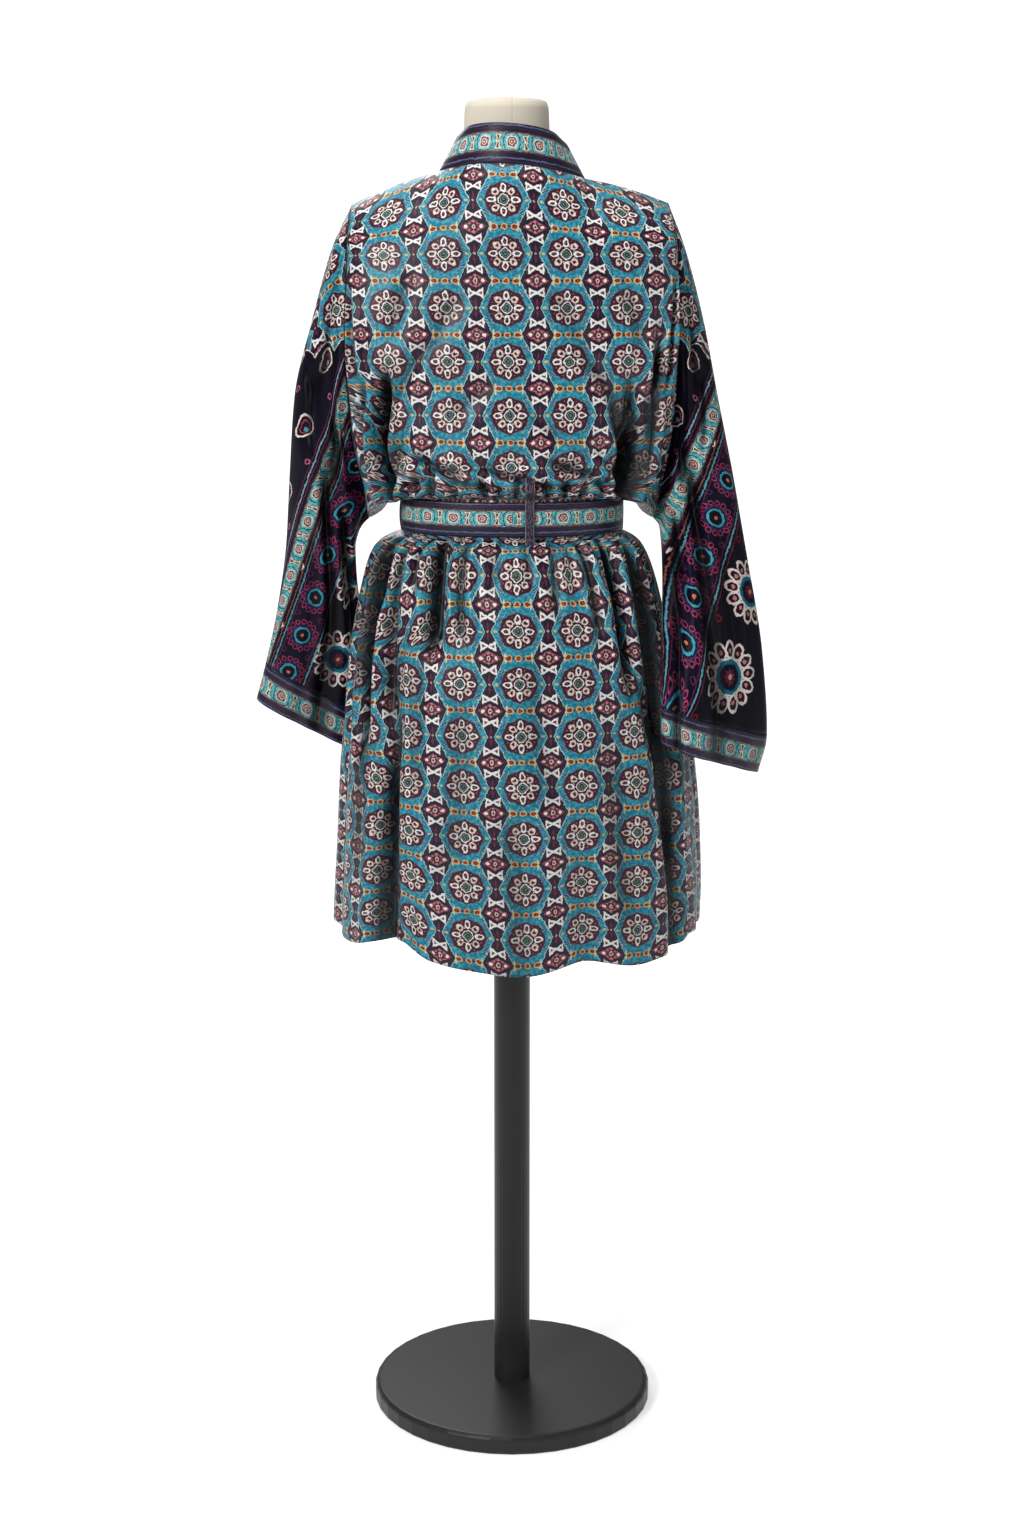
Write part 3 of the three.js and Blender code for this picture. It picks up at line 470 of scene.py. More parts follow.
def yoke_point(top, foot, share):
    """The yoke rounds over from the top edge to the first body row."""
    t = np.asarray(share)[..., None]
    fall = top[..., 2] - foot[..., 2]
    over = top.copy()
    over[..., 1] += (foot[..., 1] - top[..., 1]) * 0.55
    over[..., 2] -= 0.1 * fall
    above = foot.copy()
    above[..., 2] += 0.5 * fall
    s = 1 - t
    return s**3 * top + 3 * s * s * t * over + 3 * s * t * t * above + t**3 * foot


def levels_of(yoke_rows, drops):
    """Rows of the body grid: negative numbers are the yoke's shares less one, the others are drops."""
    return np.concatenate([np.linspace(0, 1, yoke_rows, endpoint=False) - 1, drops])


def back_point(turn, level):
    turn, level = np.broadcast_arrays(turn, level)
    top = top_edge(shoulder(turn, "tip") * np.sin(np.radians(90 * turn)))
    yoke = yoke_point(top, body_point("back", turn, 0.0), clamp01(level + 1))
    point = np.where(level[..., None] < 0, yoke, body_point("back", turn, np.maximum(level, 0)))
    return point + [0, SEAM_GAP / 2, 0]


print("neck seam at the back", np.round(top_edge(0.0), 1))

# %% [markdown]
# ## The fronts
#
# Each front reaches from its band's seam to the armhole and the side seam. The two could overlap in one
# sheet, but a wearer could not open that. So the left front is moved out by a few millimetres where it lies
# over the right one, and it comes back to the body before the side seam.

# %% Front points


def lap_lift(x, drop):
    """The wearer's left front lies over the right one, so it lifts off as it nears the middle."""
    return FRONT_LAP * ease((125 - x) / 50) * ease((drop - 40) / 60)


def front_turn(side, across, drop):
    """The turn of a place between the band's seam (across 0) and the armhole or side seam (1)."""
    sign = SHOULDERS[side]["sign"]
    start = turn_at(sign * read(FRONT_SEAM, "drop", drop, "x"), drop) * sign
    return start, sign * (start + (1 - start) * across)


def front_point(side, across, level):
    across, level = np.broadcast_arrays(across, level)
    sign, tip = SHOULDERS[side]["sign"], SHOULDERS[side]["tip"]
    drop = np.maximum(level, 0)
    start, turn = front_turn(side, across, drop)
    foot = body_point("front", turn, drop)
    if side == "left":
        foot = body_point("front", turn, drop, lap_lift(foot[..., 0], drop))
    first = np.abs(body_point("front", sign * start, 0.0)[..., 0])
    last = abs(float(body_point("front", sign, 0.0)[0]))
    share = (np.abs(foot[..., 0]) - first) / (last - first)
    top = top_edge(sign * (NECK_HALF + (tip - NECK_HALF) * share))
    yoke = yoke_point(top, foot, clamp01(level + 1))
    return np.where(level[..., None] < 0, yoke, foot) - [0, SEAM_GAP / 2, 0]


print("left front's seam at the belt", np.round(front_point("left", 0.0, BELT_DROP), 1))

# %% [markdown]
# ## From points to a mesh
#
# Every piece is a grid of points: rows run down the cloth, columns across it. Curves that Blender turns into
# a mesh would hide which point is which. With plain grids the seams of two pieces can share their points,
# and the knot and the form are rings of points with both ends closed.

# %% Grids


def unit(v):
    return v / np.maximum(np.linalg.norm(v, axis=-1, keepdims=True), 1e-9)


def grid_normals(points, loop):
    """Outward normals of a grid whose rows run down and whose columns run so that the face looks out."""
    if loop:
        across = np.roll(points, -1, 1) - np.roll(points, 1, 1)
    else:
        across = np.gradient(points, axis=1)
    return unit(np.cross(np.gradient(points, axis=0), across))


def arc_lengths(points, axis, start=0):
    """Distance along the grid's rows or columns, in mm, from the line of points called start."""
    steps = np.linalg.norm(np.diff(points, axis=axis), axis=-1)
    pad = [(0, 0), (0, 0)]
    pad[axis] = (1, 0)
    along = np.cumsum(np.pad(steps, pad), axis=axis)
    return along - np.take(along, [start], axis=axis)


def make_object(name, points, faces):
    """A mesh object from points in mm and lists of point numbers."""
    mesh = bpy.data.meshes.new(name)
    mesh.from_pydata((np.asarray(points) / 1000).tolist(), [], faces)
    mesh.polygons.foreach_set("use_smooth", [True] * len(mesh.polygons))
    obj = bpy.data.objects.new(name, mesh)
    bpy.context.scene.collection.objects.link(obj)
    return obj


def cell_faces(grid):
    """The four corners of each cell of a grid of point numbers."""
    return np.stack([grid[:-1, :-1], grid[1:, :-1], grid[1:, 1:], grid[:-1, 1:]], -1).reshape(-1, 4)


def closed(grid):
    """A grid with its first column once more at its end."""
    return np.concatenate([grid, grid[:, :1]], 1)


def capped(name, rings, ends):
    """A closed object from rings, the highest first, with a point in the middle of each end."""
    high, wide = rings.shape[:2]
    numbers = closed(np.arange(high * wide).reshape(high, wide))
    top, bottom = high * wide, high * wide + 1
    faces = cell_faces(numbers).tolist()
    faces += [[top, a, b] for a, b in zip(numbers[0, :-1].tolist(), numbers[0, 1:].tolist())]
    faces += [[bottom, b, a] for a, b in zip(numbers[-1, :-1].tolist(), numbers[-1, 1:].tolist())]
    return make_object(name, np.concatenate([rings.reshape(-1, 3), ends]), faces)


print("mesh helpers ready")

# %% [markdown]
# ## From a grid of points to cloth
#
# A piece of cloth is a thin sheet with two faces. A modifier could thicken a surface, but its rims would
# miss their neighbours. So the outer face is a grid of points, the inner face lies one wall further in, and
# a rim joins them. Every point also gets a place on the flat cloth, in metres, which the print uses. So the
# print follows the cloth into its folds, as on real cloth.

# %% Cloth maker


def rim_lines(grid, loop):
    lines = [(grid[0, :-1], grid[0, 1:]), (grid[-1, 1:], grid[-1, :-1])]
    if not loop:
        lines += [(grid[1:, 0], grid[:-1, 0]), (grid[:-1, -1], grid[1:, -1])]
    return lines


def wall_faces(grid, under, loop):
    """Outer faces, inner faces and rim faces, from the two layers' numbers."""
    faces = [cell_faces(grid), cell_faces(under)[:, ::-1]]
    for (a, b), (c, d) in zip(rim_lines(grid, loop), rim_lines(under, loop)):
        faces.append(np.stack([a, b, d, c], -1))
    return np.concatenate(faces)


def cloth(name, points, flat, thick, loop=False, pinned=(), shade=None):
    """A cloth wall from a grid of outer points. Flat gives each point's place on the flat cloth, in mm. It
    has one more column than the grid when that is a loop. Where pinned names an axis and a mask of points,
    the inner point keeps the outer one's place on it. Shade is each point's painted shade, from 0 to 1,
    stored as the shade attribute that darkens the print in folds."""
    high, wide = points.shape[:2]
    inner = points - grid_normals(points, loop) * thick
    for axis, mask in pinned:
        inner[..., axis] = np.where(mask, points[..., axis], inner[..., axis])
    numbers = np.arange(high * wide).reshape(high, wide)
    if loop:
        numbers = closed(numbers)
    faces = wall_faces(numbers, numbers + high * wide, loop)
    places = np.arange(numbers.size).reshape(numbers.shape)
    corners = wall_faces(places, places, loop)
    both = np.concatenate([points.reshape(-1, 3), inner.reshape(-1, 3)])
    obj = make_object(name, both, faces.tolist())
    smooth = np.arange(len(faces)) < 2 * (high - 1) * (numbers.shape[1] - 1)
    obj.data.polygons.foreach_set("use_smooth", smooth)
    uv = obj.data.uv_layers.new(name="flat")
    uv.data.foreach_set("uv", (flat.reshape(-1, 2)[corners.reshape(-1)] / 1000).reshape(-1))
    if shade is not None:
        layer = obj.data.attributes.new("shade", "FLOAT", "POINT")
        layer.data.foreach_set("value", np.tile(shade.reshape(-1), 2))
    return obj


def facts(obj):
    """A line about a cloth piece: its triangles, its cloth and how far its flat place goes."""
    mesh = obj.data
    cloth_area = sum(face.area for face in mesh.polygons) / 2
    places = np.empty(2 * len(mesh.loops))
    mesh.uv_layers["flat"].data.foreach_get("uv", places)
    wide, high = np.ptp(places.reshape(-1, 2), axis=0)
    flat_size = f"flat {wide:.3f} x {high:.3f} m"
    return f"{obj.name}: {2 * len(mesh.polygons)} triangles, {cloth_area:.4f} m2, {flat_size}"


print("cloth maker ready")

# %% [markdown]
# ## Body panels
#
# The back is one width of cloth from shoulder to hem, and the two fronts meet it at the shoulder line and
# the sides. They could be one tube with painted seams. Three grids keep the real seams, and each panel
# carries its own run of the print. Columns run from the wearer's left to the right, so that the face looks
# out, and rows lie closer together where the belt gathers the cloth.

# %% Back and fronts
YOKE_ROWS = 24
BLOUSE_DROPS, BELT_DROPS = np.arange(0, 280, 3.5), np.arange(280, 400, 3.0)
DROPS = np.concatenate([BLOUSE_DROPS, BELT_DROPS, np.linspace(400, HEM_DROP, 98)])
LEVELS = levels_of(YOKE_ROWS, DROPS)
BACK_TURNS = np.linspace(1, -1, 201)
FRONT_SHARES = np.linspace(0, 1, 111)
FRONT_PRINT_START = 60


def cloth_drop(points, levels):
    """How far down the flat cloth each row lies, in mm. The yoke counts back from drop 0."""
    middle = points.shape[1] // 2
    steps = np.linalg.norm(np.diff(points[: YOKE_ROWS + 1, middle], axis=0), axis=-1)
    yoke = np.cumsum(steps) - steps.sum()
    down = np.concatenate([[-steps.sum()], yoke[:-1], levels[YOKE_ROWS:]])
    return np.broadcast_to(down[:, None], points.shape[:2])


def back_panel():
    points = back_point(BACK_TURNS[None, :], LEVELS[:, None])
    flat = np.stack([arc_lengths(points, 1, len(BACK_TURNS) // 2), cloth_drop(points, LEVELS)], -1)
    edges = np.zeros(points.shape[:2], bool)
    edges[0] = edges[:, 0] = edges[:, -1] = True
    shade = body_shade("back", BACK_TURNS[None, :], LEVELS[:, None])
    return cloth("cloth_back", points, flat, CLOTH, pinned=[(1, edges)], shade=shade)


def front_panel(side):
    shares = FRONT_SHARES if side == "left" else FRONT_SHARES[::-1]
    points = front_point(side, shares[None, :], LEVELS[:, None])
    seam = 0 if side == "left" else len(shares) - 1
    around = arc_lengths(points, 1, seam)
    flat = np.stack([around + FRONT_PRINT_START * SHOULDERS[side]["sign"], cloth_drop(points, LEVELS)], -1)
    edges = np.zeros(points.shape[:2], bool)
    edges[0] = edges[:, -1 if side == "left" else 0] = True
    turn = front_turn(side, shares[None, :], np.maximum(LEVELS, 0)[:, None])[1]
    shade = body_shade("front", turn, LEVELS[:, None])
    return cloth("cloth_front_" + side, points, flat, CLOTH, pinned=[(1, edges)], shade=shade)


pieces = {"back_panel": back_panel()}
for side in SHOULDERS:
    pieces["front_" + side] = front_panel(side)
for piece in pieces.values():
    print(facts(piece))

# %% [markdown]
# ## Sleeves and cuffs
#
# The sleeve is a wide, flat tube that opens into the body under the arm, and a border band finishes it. It
# could be bent from a flat rectangle. Rings of points are used instead, because the first one can be the
# very ring that the body panels leave. Each row is a section: where its outer edge and its inner edge are,
# and how thick it is. At runs from 0 at the armhole to 1 at the cuff's seam.

# %% Sleeve tables
SLEEVE_COLUMNS = "at out_x out_y out_z in_x in_y in_z half"
SLEEVES = {
    "left": table(
        SLEEVE_COLUMNS,
        (0, 182, -4, 1457, 166, 0, 1100, 58),
        (0.1, 205, -3, 1410, 174, -2, 1092, 60),
        (0.25, 229, -3, 1330, 180, -6, 1080, 56),
        (0.42, 252, -8, 1240, 184, -16, 1060, 50),
        (0.58, 260, -16, 1150, 184, -32, 1025, 44),
        (0.74, 267, -27, 1060, 182, -55, 975, 39),
        (0.88, 279, -37, 985, 183, -76, 915, 36),
        (1, 294, -45, 921, 187, -90, 856, 34),
        (1.08, 307, -49, 875, 191, -95, 809, 34),
    ),
    "right": table(
        SLEEVE_COLUMNS,
        (0, 178, -4, 1458, 164, 0, 1100, 58),
        (0.1, 197, -1, 1410, 171, 3, 1092, 60),
        (0.25, 219, 3, 1330, 173, 9, 1078, 56),
        (0.42, 237, 11, 1240, 174, 26, 1055, 49),
        (0.58, 255, 22, 1150, 174, 50, 1022, 42),
        (0.74, 271, 36, 1055, 173, 77, 978, 36),
        (0.88, 288, 49, 950, 172, 98, 930, 32),
        (1, 295, 58, 856, 172, 112, 896, 30),
        (1.08, 285, 60, 812, 173, 114, 853, 30),
    ),
}
SLEEVE_FOLDS = table(
    FOLD_COLUMNS,
    (62, 0.06, 48, 0.5, 7, 13),
    (105, 0.1, 96, 0.62, 9, 14),
    (140, 0.16, 142, 0.95, 8, 12),
    (74, 0.5, 70, 1.3, 6, 14),
    (292, 0.08, 306, 0.55, 8, 14),
    (250, 0.12, 258, 0.7, 9, 14),
    (222, 0.3, 220, 1.3, 7, 13),
    (285, 0.55, 290, 1.3, 5, 14),
)
SLEEVE_CREASES = table(
    CREASE_COLUMNS,
    (40, -0.02, 62, 0.3, 4, 8, 4),
    (70, 0.02, 92, 0.3, 5, 8, 5),
    (118, 0.02, 104, 0.4, 6, 8, -5),
    (58, 0.22, 30, 0.36, 4, 7, 4),
    (36, 0.3, 66, 0.44, 4, 7, 5),
    (132, 0.3, 122, 0.8, 7, 8, 5),
    (92, 0.28, 88, 1.2, 9, 8, 6),
    (150, 0.36, 146, 1.4, 9, 7, 3),
    (112, 0.5, 106, 1.3, 5, 9, -5),
    (66, 0.5, 70, 1.3, 4, 10, 5),
    (44, 0.62, 46, 1.3, 2.5, 10, 0),
    (310, 0.04, 292, 0.34, 5, 8, 5),
    (262, 0.06, 246, 0.42, 6, 9, -5),
    (324, 0.3, 300, 0.44, 4, 7, 4),
    (236, 0.34, 240, 0.86, 5, 9, 5),
    (272, 0.4, 276, 0.9, 3.5, 10, -5),
    (208, 0.5, 212, 1.3, 6, 8, 4),
    (306, 0.6, 308, 1.3, 2.5, 11, 5),
)
ARMHOLE_BLEND = 0.3
ARMHOLE_POINTS = 96
CUFF_SEAM = 1.0
CUFF_END = 1.08
RING_MM_PER_DEGREE, SLEEVE_LENGTH = 0.8, 560
CREASE_START = 0.08
JOIN_SHADE_TO = {"left": 200, "right": 90}
print(len(SLEEVE_FOLDS["depth"]), "folds and", len(SLEEVE_CREASES["depth"]), "finer creases on a sleeve")

# %% [markdown]
# ## From the armhole to the cuff
#
# At the top the ring is the armhole's own outline. Over the first third it turns into an oval, and the folds
# press into it from there. The cuff goes on from the sleeve's last ring with a thicker wall, as the doubled
# band does on the real sleeve.

# %% Sleeves


def armhole(side):
    """The ring that the body panels leave: down the back from the shoulder point, and up the front."""
    sign = SHOULDERS[side]["sign"]
    levels = levels_of(YOKE_ROWS, np.linspace(0, 280, 2 * ARMHOLE_POINTS))
    back, front = back_point(float(sign), levels), front_point(side, 1.0, levels)
    middle = (back + front) / 2
    ring = np.concatenate([middle[:1], back[1:-1], middle[-1:], front[1:-1][::-1]])
    ring = ring + [sign * SEAM_GAP * 1.5, 0, 0]
    return ring[::2]


def edge_of(rows, at, edge):
    """A sleeve's outer edge ("out") or inner edge ("in"), as x, y and z."""
    return np.array([read(rows, "at", at, edge + axis) for axis in ("_x", "_y", "_z")])


def sleeve_rings(side, stations):
    """Rings of points from the armhole to the cuff's edge, each from the outer edge round by the back, and
    the painted shade that the print gets in the folds and at the join there."""
    sign, rows = SHOULDERS[side]["sign"], SLEEVES[side]
    hole = armhole(side)
    half = len(hole) // 2
    out_0, in_0 = hole[0], hole[half]
    axis_0 = out_0 - in_0
    share = (hole - in_0) @ axis_0 / (axis_0 @ axis_0)
    off = hole - (in_0 + share[:, None] * axis_0)
    turn = np.arccos(np.clip(2 * share - 1, -1, 1))
    turn = np.where(np.arange(len(hole)) <= half, turn, 2 * np.pi - turn)
    rings, shades = [], []
    for at in stations:
        outer, inner = (edge_of(rows, at, edge) * [sign, 1, 1] for edge in ("out", "in"))
        if at == 0:
            outer, inner = out_0, in_0
        centre, reach = (outer + inner) / 2, (outer - inner) / 2
        axis = unit(reach)
        back = unit(np.array([0, 1, 0]) - axis * axis[1])
        oval = ease(at / ARMHOLE_BLEND)
        wide = np.sin(turn) * read(rows, "at", at, "half")
        ring = centre + np.cos(turn)[:, None] * reach + off * (1 - oval) + wide[:, None] * back * oval
        outward = np.cos(turn)[:, None] * axis + np.sin(turn)[:, None] * back
        deep = fold_depth(SLEEVE_FOLDS, np.degrees(turn), at, RING_MM_PER_DEGREE, SLEEVE_LENGTH)
        crease = fold_depth(SLEEVE_CREASES, np.degrees(turn), at, RING_MM_PER_DEGREE, SLEEVE_LENGTH)
        crease = crease * ease(at / CREASE_START)
        rings.append(ring - outward * (deep + crease)[:, None])
        # Painted shade: the print is painted dark in creases, deep folds and along the join with the body.
        from_top = np.degrees(np.minimum(turn, 2 * np.pi - turn))
        join = math.exp(-((at * SLEEVE_LENGTH / 7) ** 2)) * ease((JOIN_SHADE_TO[side] - from_top) / 25)
        shades.append(clamp01(0.9 * clamp01(crease / 6) + 0.6 * clamp01((deep - 3) / 7) + join))
    return np.array(rings), np.array(shades)


print(len(armhole("left")), "points round an armhole")

# %% [markdown]
# ## The print's place, and the pieces
#
# A sleeve's flat place is its height and how far across it a point lies, measured from the outer fold. It
# could count right round the sleeve, but then the print would bend where the sleeve does. So both layers
# share one place, and the hidden layer mirrors the one that shows. The cuff counts round its ring instead.

# %% Sleeve pieces


def ring_lengths(rings):
    """Distance round each ring from its first point, in mm, with the closing point as a last column."""
    return arc_lengths(closed(rings), 1)


def sleeve_flat(side, stations, rings):
    """Places on the flat sleeve, as x across the picture and height, the same for both of its layers."""
    rows, sign = SLEEVES[side], SHOULDERS[side]["sign"]
    around = ring_lengths(rings)
    half = rings.shape[1] // 2
    to_fold = np.where(np.arange(around.shape[1]) <= half, around, around[:, -1:] - around)
    places = []
    for at, reach in zip(stations, to_fold):
        outer, inner = (edge_of(rows, at, edge)[[0, 2]] for edge in ("out", "in"))
        across = (inner - outer) / np.linalg.norm(inner - outer)
        place = outer + reach[:, None] * across
        places.append(np.stack([-sign * place[:, 0], place[:, 1]], -1))
    return np.array(places)


def turned(side, rings, flat, shade):
    """Turns the rings of the right sleeve round, so that its face looks out."""
    if side == "left":
        return rings, flat, shade
    return np.roll(rings[:, ::-1], 1, 1), flat[:, ::-1], np.roll(shade[:, ::-1], 1, 1)


def sleeve(side):
    stations = np.concatenate([[0], np.linspace(0.006, CUFF_SEAM - 0.0005, 170)])
    rings, shade = sleeve_rings(side, stations)
    rings, flat, shade = turned(side, rings, sleeve_flat(side, stations, rings), shade)
    start = np.zeros(rings.shape[:2], bool)
    start[0] = True
    return cloth("cloth_sleeve_" + side, rings, flat, CLOTH, loop=True, pinned=[(0, start)], shade=shade)


def cuff(side):
    stations = np.linspace(CUFF_SEAM + 0.0005, CUFF_END, 16)
    rings, shade = sleeve_rings(side, stations)
    around = ring_lengths(rings)
    down = np.linspace(0, BAND_WIDTH, len(stations))[:, None] + 0 * around
    flat = np.stack([around[:1] + 0 * around, down], -1)
    rings, flat, shade = turned(side, rings, flat, shade)
    return cloth("cloth_cuff_" + side, rings, flat, BAND, loop=True, shade=shade)


for side in SHOULDERS:
    pieces["sleeve_" + side] = sleeve(side)
    pieces["cuff_" + side] = cuff(side)
    print(facts(pieces["sleeve_" + side]))
    print(facts(pieces["cuff_" + side]))

# %% [markdown]
# ## Neckband and front bands
#
# One border-print band stands round the back of the neck, lies down onto the fronts and runs on to the hem.
# It could be swept along a curve. Here it is worked out from the points of the seam, moved straight across,
# so it starts exactly where the front ends. Across a band the flat place counts from its seam (0) to its
# free edge.

# %% Bands
NECKBAND = table(
    "place x y z width",
    (0, 0, -0.2, 0.98, 45),
    (0.6, -0.16, -0.16, 0.97, 45),
    (1, -0.45, -0.14, 0.88, 44),
    (1.4, -0.6, -0.3, 0.74, 44),
    (1.75, -0.82, -0.22, 0.52, 44.5),
    (2, -0.955, -0.06, 0.29, 45),
)
BAND_START = 3.2
BAND_SHARES = np.linspace(0, 1, 13)


def front_band_points(side, shares, drops):
    """Points straight across from the seam, on the same face as the front that the band is sewn to."""
    sign, step = SHOULDERS[side]["sign"], 4
    drops, shares = np.asarray(drops, float)[:, None], np.asarray(shares)[None, :]
    above = np.maximum(0, drops - step)
    seam = [read(FRONT_SEAM, "drop", at, "x") for at in (above, drops, drops + step)]
    slope = (seam[2] - seam[0]) / (drops + step - above)
    turned_by = np.arctan(-slope) * ease((280 - drops) / 80)
    reach = SEAM_GAP + shares * (BAND_WIDTH - SEAM_GAP)
    x = sign * (seam[1] - reach * np.cos(turned_by))
    band_drop = np.maximum(0, drops - reach * np.sin(turned_by))
    lift = lap_lift(x, band_drop) if side == "left" else 0.0
    points = body_point("front", turn_at(x, band_drop), band_drop, lift)
    points[..., 1] -= SEAM_GAP / 2
    points[..., 2] += np.maximum(0, reach * np.sin(turned_by) - drops)
    return points


def band_flat(points, shares, start=0):
    """Along the band by its seam, from the row called start, and across it."""
    along = arc_lengths(points, 0, start)[:, :1] + 0 * points[..., 0]
    return np.stack([along, np.broadcast_to(shares * BAND_WIDTH, along.shape)], -1)


def front_band(side):
    drops = DROPS + np.where(DROPS == 0, BAND_START, 0)
    points = front_band_points(side, BAND_SHARES, drops)
    flat = band_flat(points, BAND_SHARES)
    if side == "left":
        points, flat = points[:, ::-1], flat[:, ::-1]
    return cloth("cloth_band_" + side, points, flat, CLOTH)


def neckband():
    neck_turn = float(turn_at(NECK_HALF, 0.0))
    round_back = np.linspace(0, 1, 31)
    down_front = np.linspace(0, 1, 31)[1:]
    halves = []
    for side in SHOULDERS:
        sign = SHOULDERS[side]["sign"]
        seam = np.concatenate([
            back_point(sign * neck_turn * round_back, -1.0 + 0 * round_back),
            front_point(side, 0.0, np.where(down_front < 1, down_front - 1, 0.0)),
        ])
        place = np.concatenate([round_back, 1 + down_front])
        stand = np.stack([read(NECKBAND, "place", place, c) for c in "xyz"], -1) * [sign, 1, 1]
        reach = SEAM_GAP + BAND_SHARES[None, :] * read(NECKBAND, "place", place, "width")[:, None]
        points = seam[:, None] + unit(stand)[:, None] * reach[..., None]
        points[-1] = front_band_points(side, BAND_SHARES, [0.6])[0]
        halves.append(points)
    points = np.concatenate([halves[0][::-1], halves[1][1:]])
    flat = band_flat(points, BAND_SHARES, len(halves[0]) - 1)
    return cloth("cloth_neckband", points, flat, CLOTH)


pieces["neckband"] = neckband()
for side in SHOULDERS:
    pieces["band_" + side] = front_band(side)
for name in ("neckband", "band_left", "band_right"):
    print(facts(pieces[name]))

# %% [markdown]
# ## Belt
#
# The belt is a strip of the border print, tight round the waist. It could be a plain ring, but then it would
# cut into the cloth or float. The body's own function gives its points, a little further out, and it bulges
# by less than half a millimetre between its edges, as doubled cloth does.

# %% Belt
BELT_TOP, BELT_BOTTOM, BELT_EASE, BELT_BULGE = 1127.5, 1088.0, 0.8, 0.4
LOOP_DROP = 340


def belt_ring(z, lift, angles):
    over = FRONT_LAP * ease((angles - 90) / 60) * ease((270 - angles) / 60)
    turn = np.arcsin(np.sin(np.radians(angles))) / (np.pi / 2)
    back = body_point("back", turn, BELT_DROP, lift + over)
    front = body_point("front", turn, BELT_DROP, lift + over)
    ring = np.where(np.cos(np.radians(angles))[:, None] >= 0, back, front)
    ring[:, 2] = z
    return ring


def belt():
    angles = np.linspace(0, 360, 240, endpoint=False)
    shares = np.linspace(0, 1, 13)
    rings = []
    for share in shares:
        z = BELT_TOP + (BELT_BOTTOM - BELT_TOP) * share
        bulge = BELT_BULGE * math.sin(math.pi * share)
        rings.append(belt_ring(z, BELT_EASE + BAND + bulge, angles))
    rings = np.array(rings)
    around = ring_lengths(rings)
    flat = np.stack([around, (1 - shares)[:, None] * BAND_WIDTH + 0 * around], -1)
    rings, flat = np.roll(rings[:, ::-1], 1, 1), flat[:, ::-1]
    return cloth("cloth_belt", rings, flat, BAND, loop=True)


pieces["belt"] = belt()
print(facts(pieces["belt"]))

# %% [markdown]
# ## Belt loops
#
# A flat loop near the middle of the back and a thin cord at the side carry the belt. They could be tubes
# placed by eye. Each is a strip along a few places over the belt, with a smooth curve through them, so it
# neither floats nor sinks in.

# %% Loops


def smooth_path(points, count):
    """A Catmull-Rom curve through points, cut into evenly spaced steps."""
    p = np.concatenate([[2 * points[0] - points[1]], points, [2 * points[-1] - points[-2]]])
    t = np.linspace(0, 1, 24, endpoint=False)[:, None]
    curve = []
    for a, b, c, d in zip(p[:-3], p[1:-2], p[2:-1], p[3:]):
        square, cube = 2 * a - 5 * b + 4 * c - d, 3 * b - a - 3 * c + d
        curve.append(0.5 * (2 * b + (c - a) * t + square * t**2 + cube * t**3))
    curve = np.concatenate(curve + [points[-1:]])
    along = np.concatenate([[0], np.cumsum(np.linalg.norm(np.diff(curve, axis=0), axis=1))])
    at = np.linspace(0, along[-1], count)
    return np.stack([np.interp(at, along, curve[:, k]) for k in range(3)], -1)


def strap(name, path, across, width, thick, count, columns=5):
    """A narrow strip along a path of places."""
    middle = smooth_path(np.array(path, float), count)
    shares = np.linspace(-0.5, 0.5, columns)
    points = middle[:, None] + shares[None, :, None] * width * np.asarray(across)
    return cloth(name, points, band_flat(points, shares + 0.5), thick)


def back_loop():
    x, width, wall = -20, 11, 1.2
    clear = wall + SEAM_GAP * 4
    upper = [body_point("back", turn_at(x, drop), drop, clear) for drop in (242, 262, 280)]
    face = body_point("back", turn_at(x, LOOP_DROP), LOOP_DROP)[1] + BELT_EASE + BAND + BELT_BULGE + clear
    path = upper + [
        [x, face + 1, BELT_TOP + 1],
        [x, face, (BELT_TOP + BELT_BOTTOM) / 2],
        [x, face, BELT_BOTTOM + 2],
        body_point("back", turn_at(x, 372), 372, clear),
    ]
    return strap("cloth_loop_back", path, [-1, 0, 0], width, wall, 60)


def side_loop():
    angle, width, wall = 78, 5, 1.2
    face = BELT_EASE + BAND + wall + 0.5
    across = [-math.cos(math.radians(angle)), math.sin(math.radians(angle)), 0]
    path = []
    for z, lift in (
        (BELT_TOP - 1, face),
        (BELT_TOP - 14, face + 1.5),
        (BELT_BOTTOM + 12, face + 1.5),
        (BELT_BOTTOM + 1, face),
    ):
        place = body_point("back", angle / 90, LOOP_DROP, lift)
        path.append([place[0], place[1], z])
    return strap("cloth_loop_side", path, across, width, wall, 24)


pieces["belt_loop_back"] = back_loop()
pieces["belt_loop_side"] = side_loop()
for name in ("belt_loop_back", "belt_loop_side"):
    print(facts(pieces[name]))

# %% [markdown]
# ## Knot and tails
#
# The photograph doesn't show the front, so the belt closes there in the plainest way, with one knot and two
# tails. A real knot could be traced as one long strip over and under itself. A soft block with two grooves
# reads as a knot and stays one simple solid.

# %% Knot and tails
KNOT = {"x": 4, "z": 1106, "width": 50, "height": 44, "depth": 22}
TAILS = {
    "belt_tail_left": {"start_x": 14, "end_x": 40, "end_z": 840, "over": 3.2},
    "belt_tail_right": {"start_x": -9, "end_x": -42, "end_z": 800, "over": 0},
}
WAIST_FRONT = float(read(BODY, "drop", LOOP_DROP, "front"))
BELT_FRONT = -(WAIST_FRONT + FRONT_LAP + BELT_EASE + BAND + BELT_BULGE)


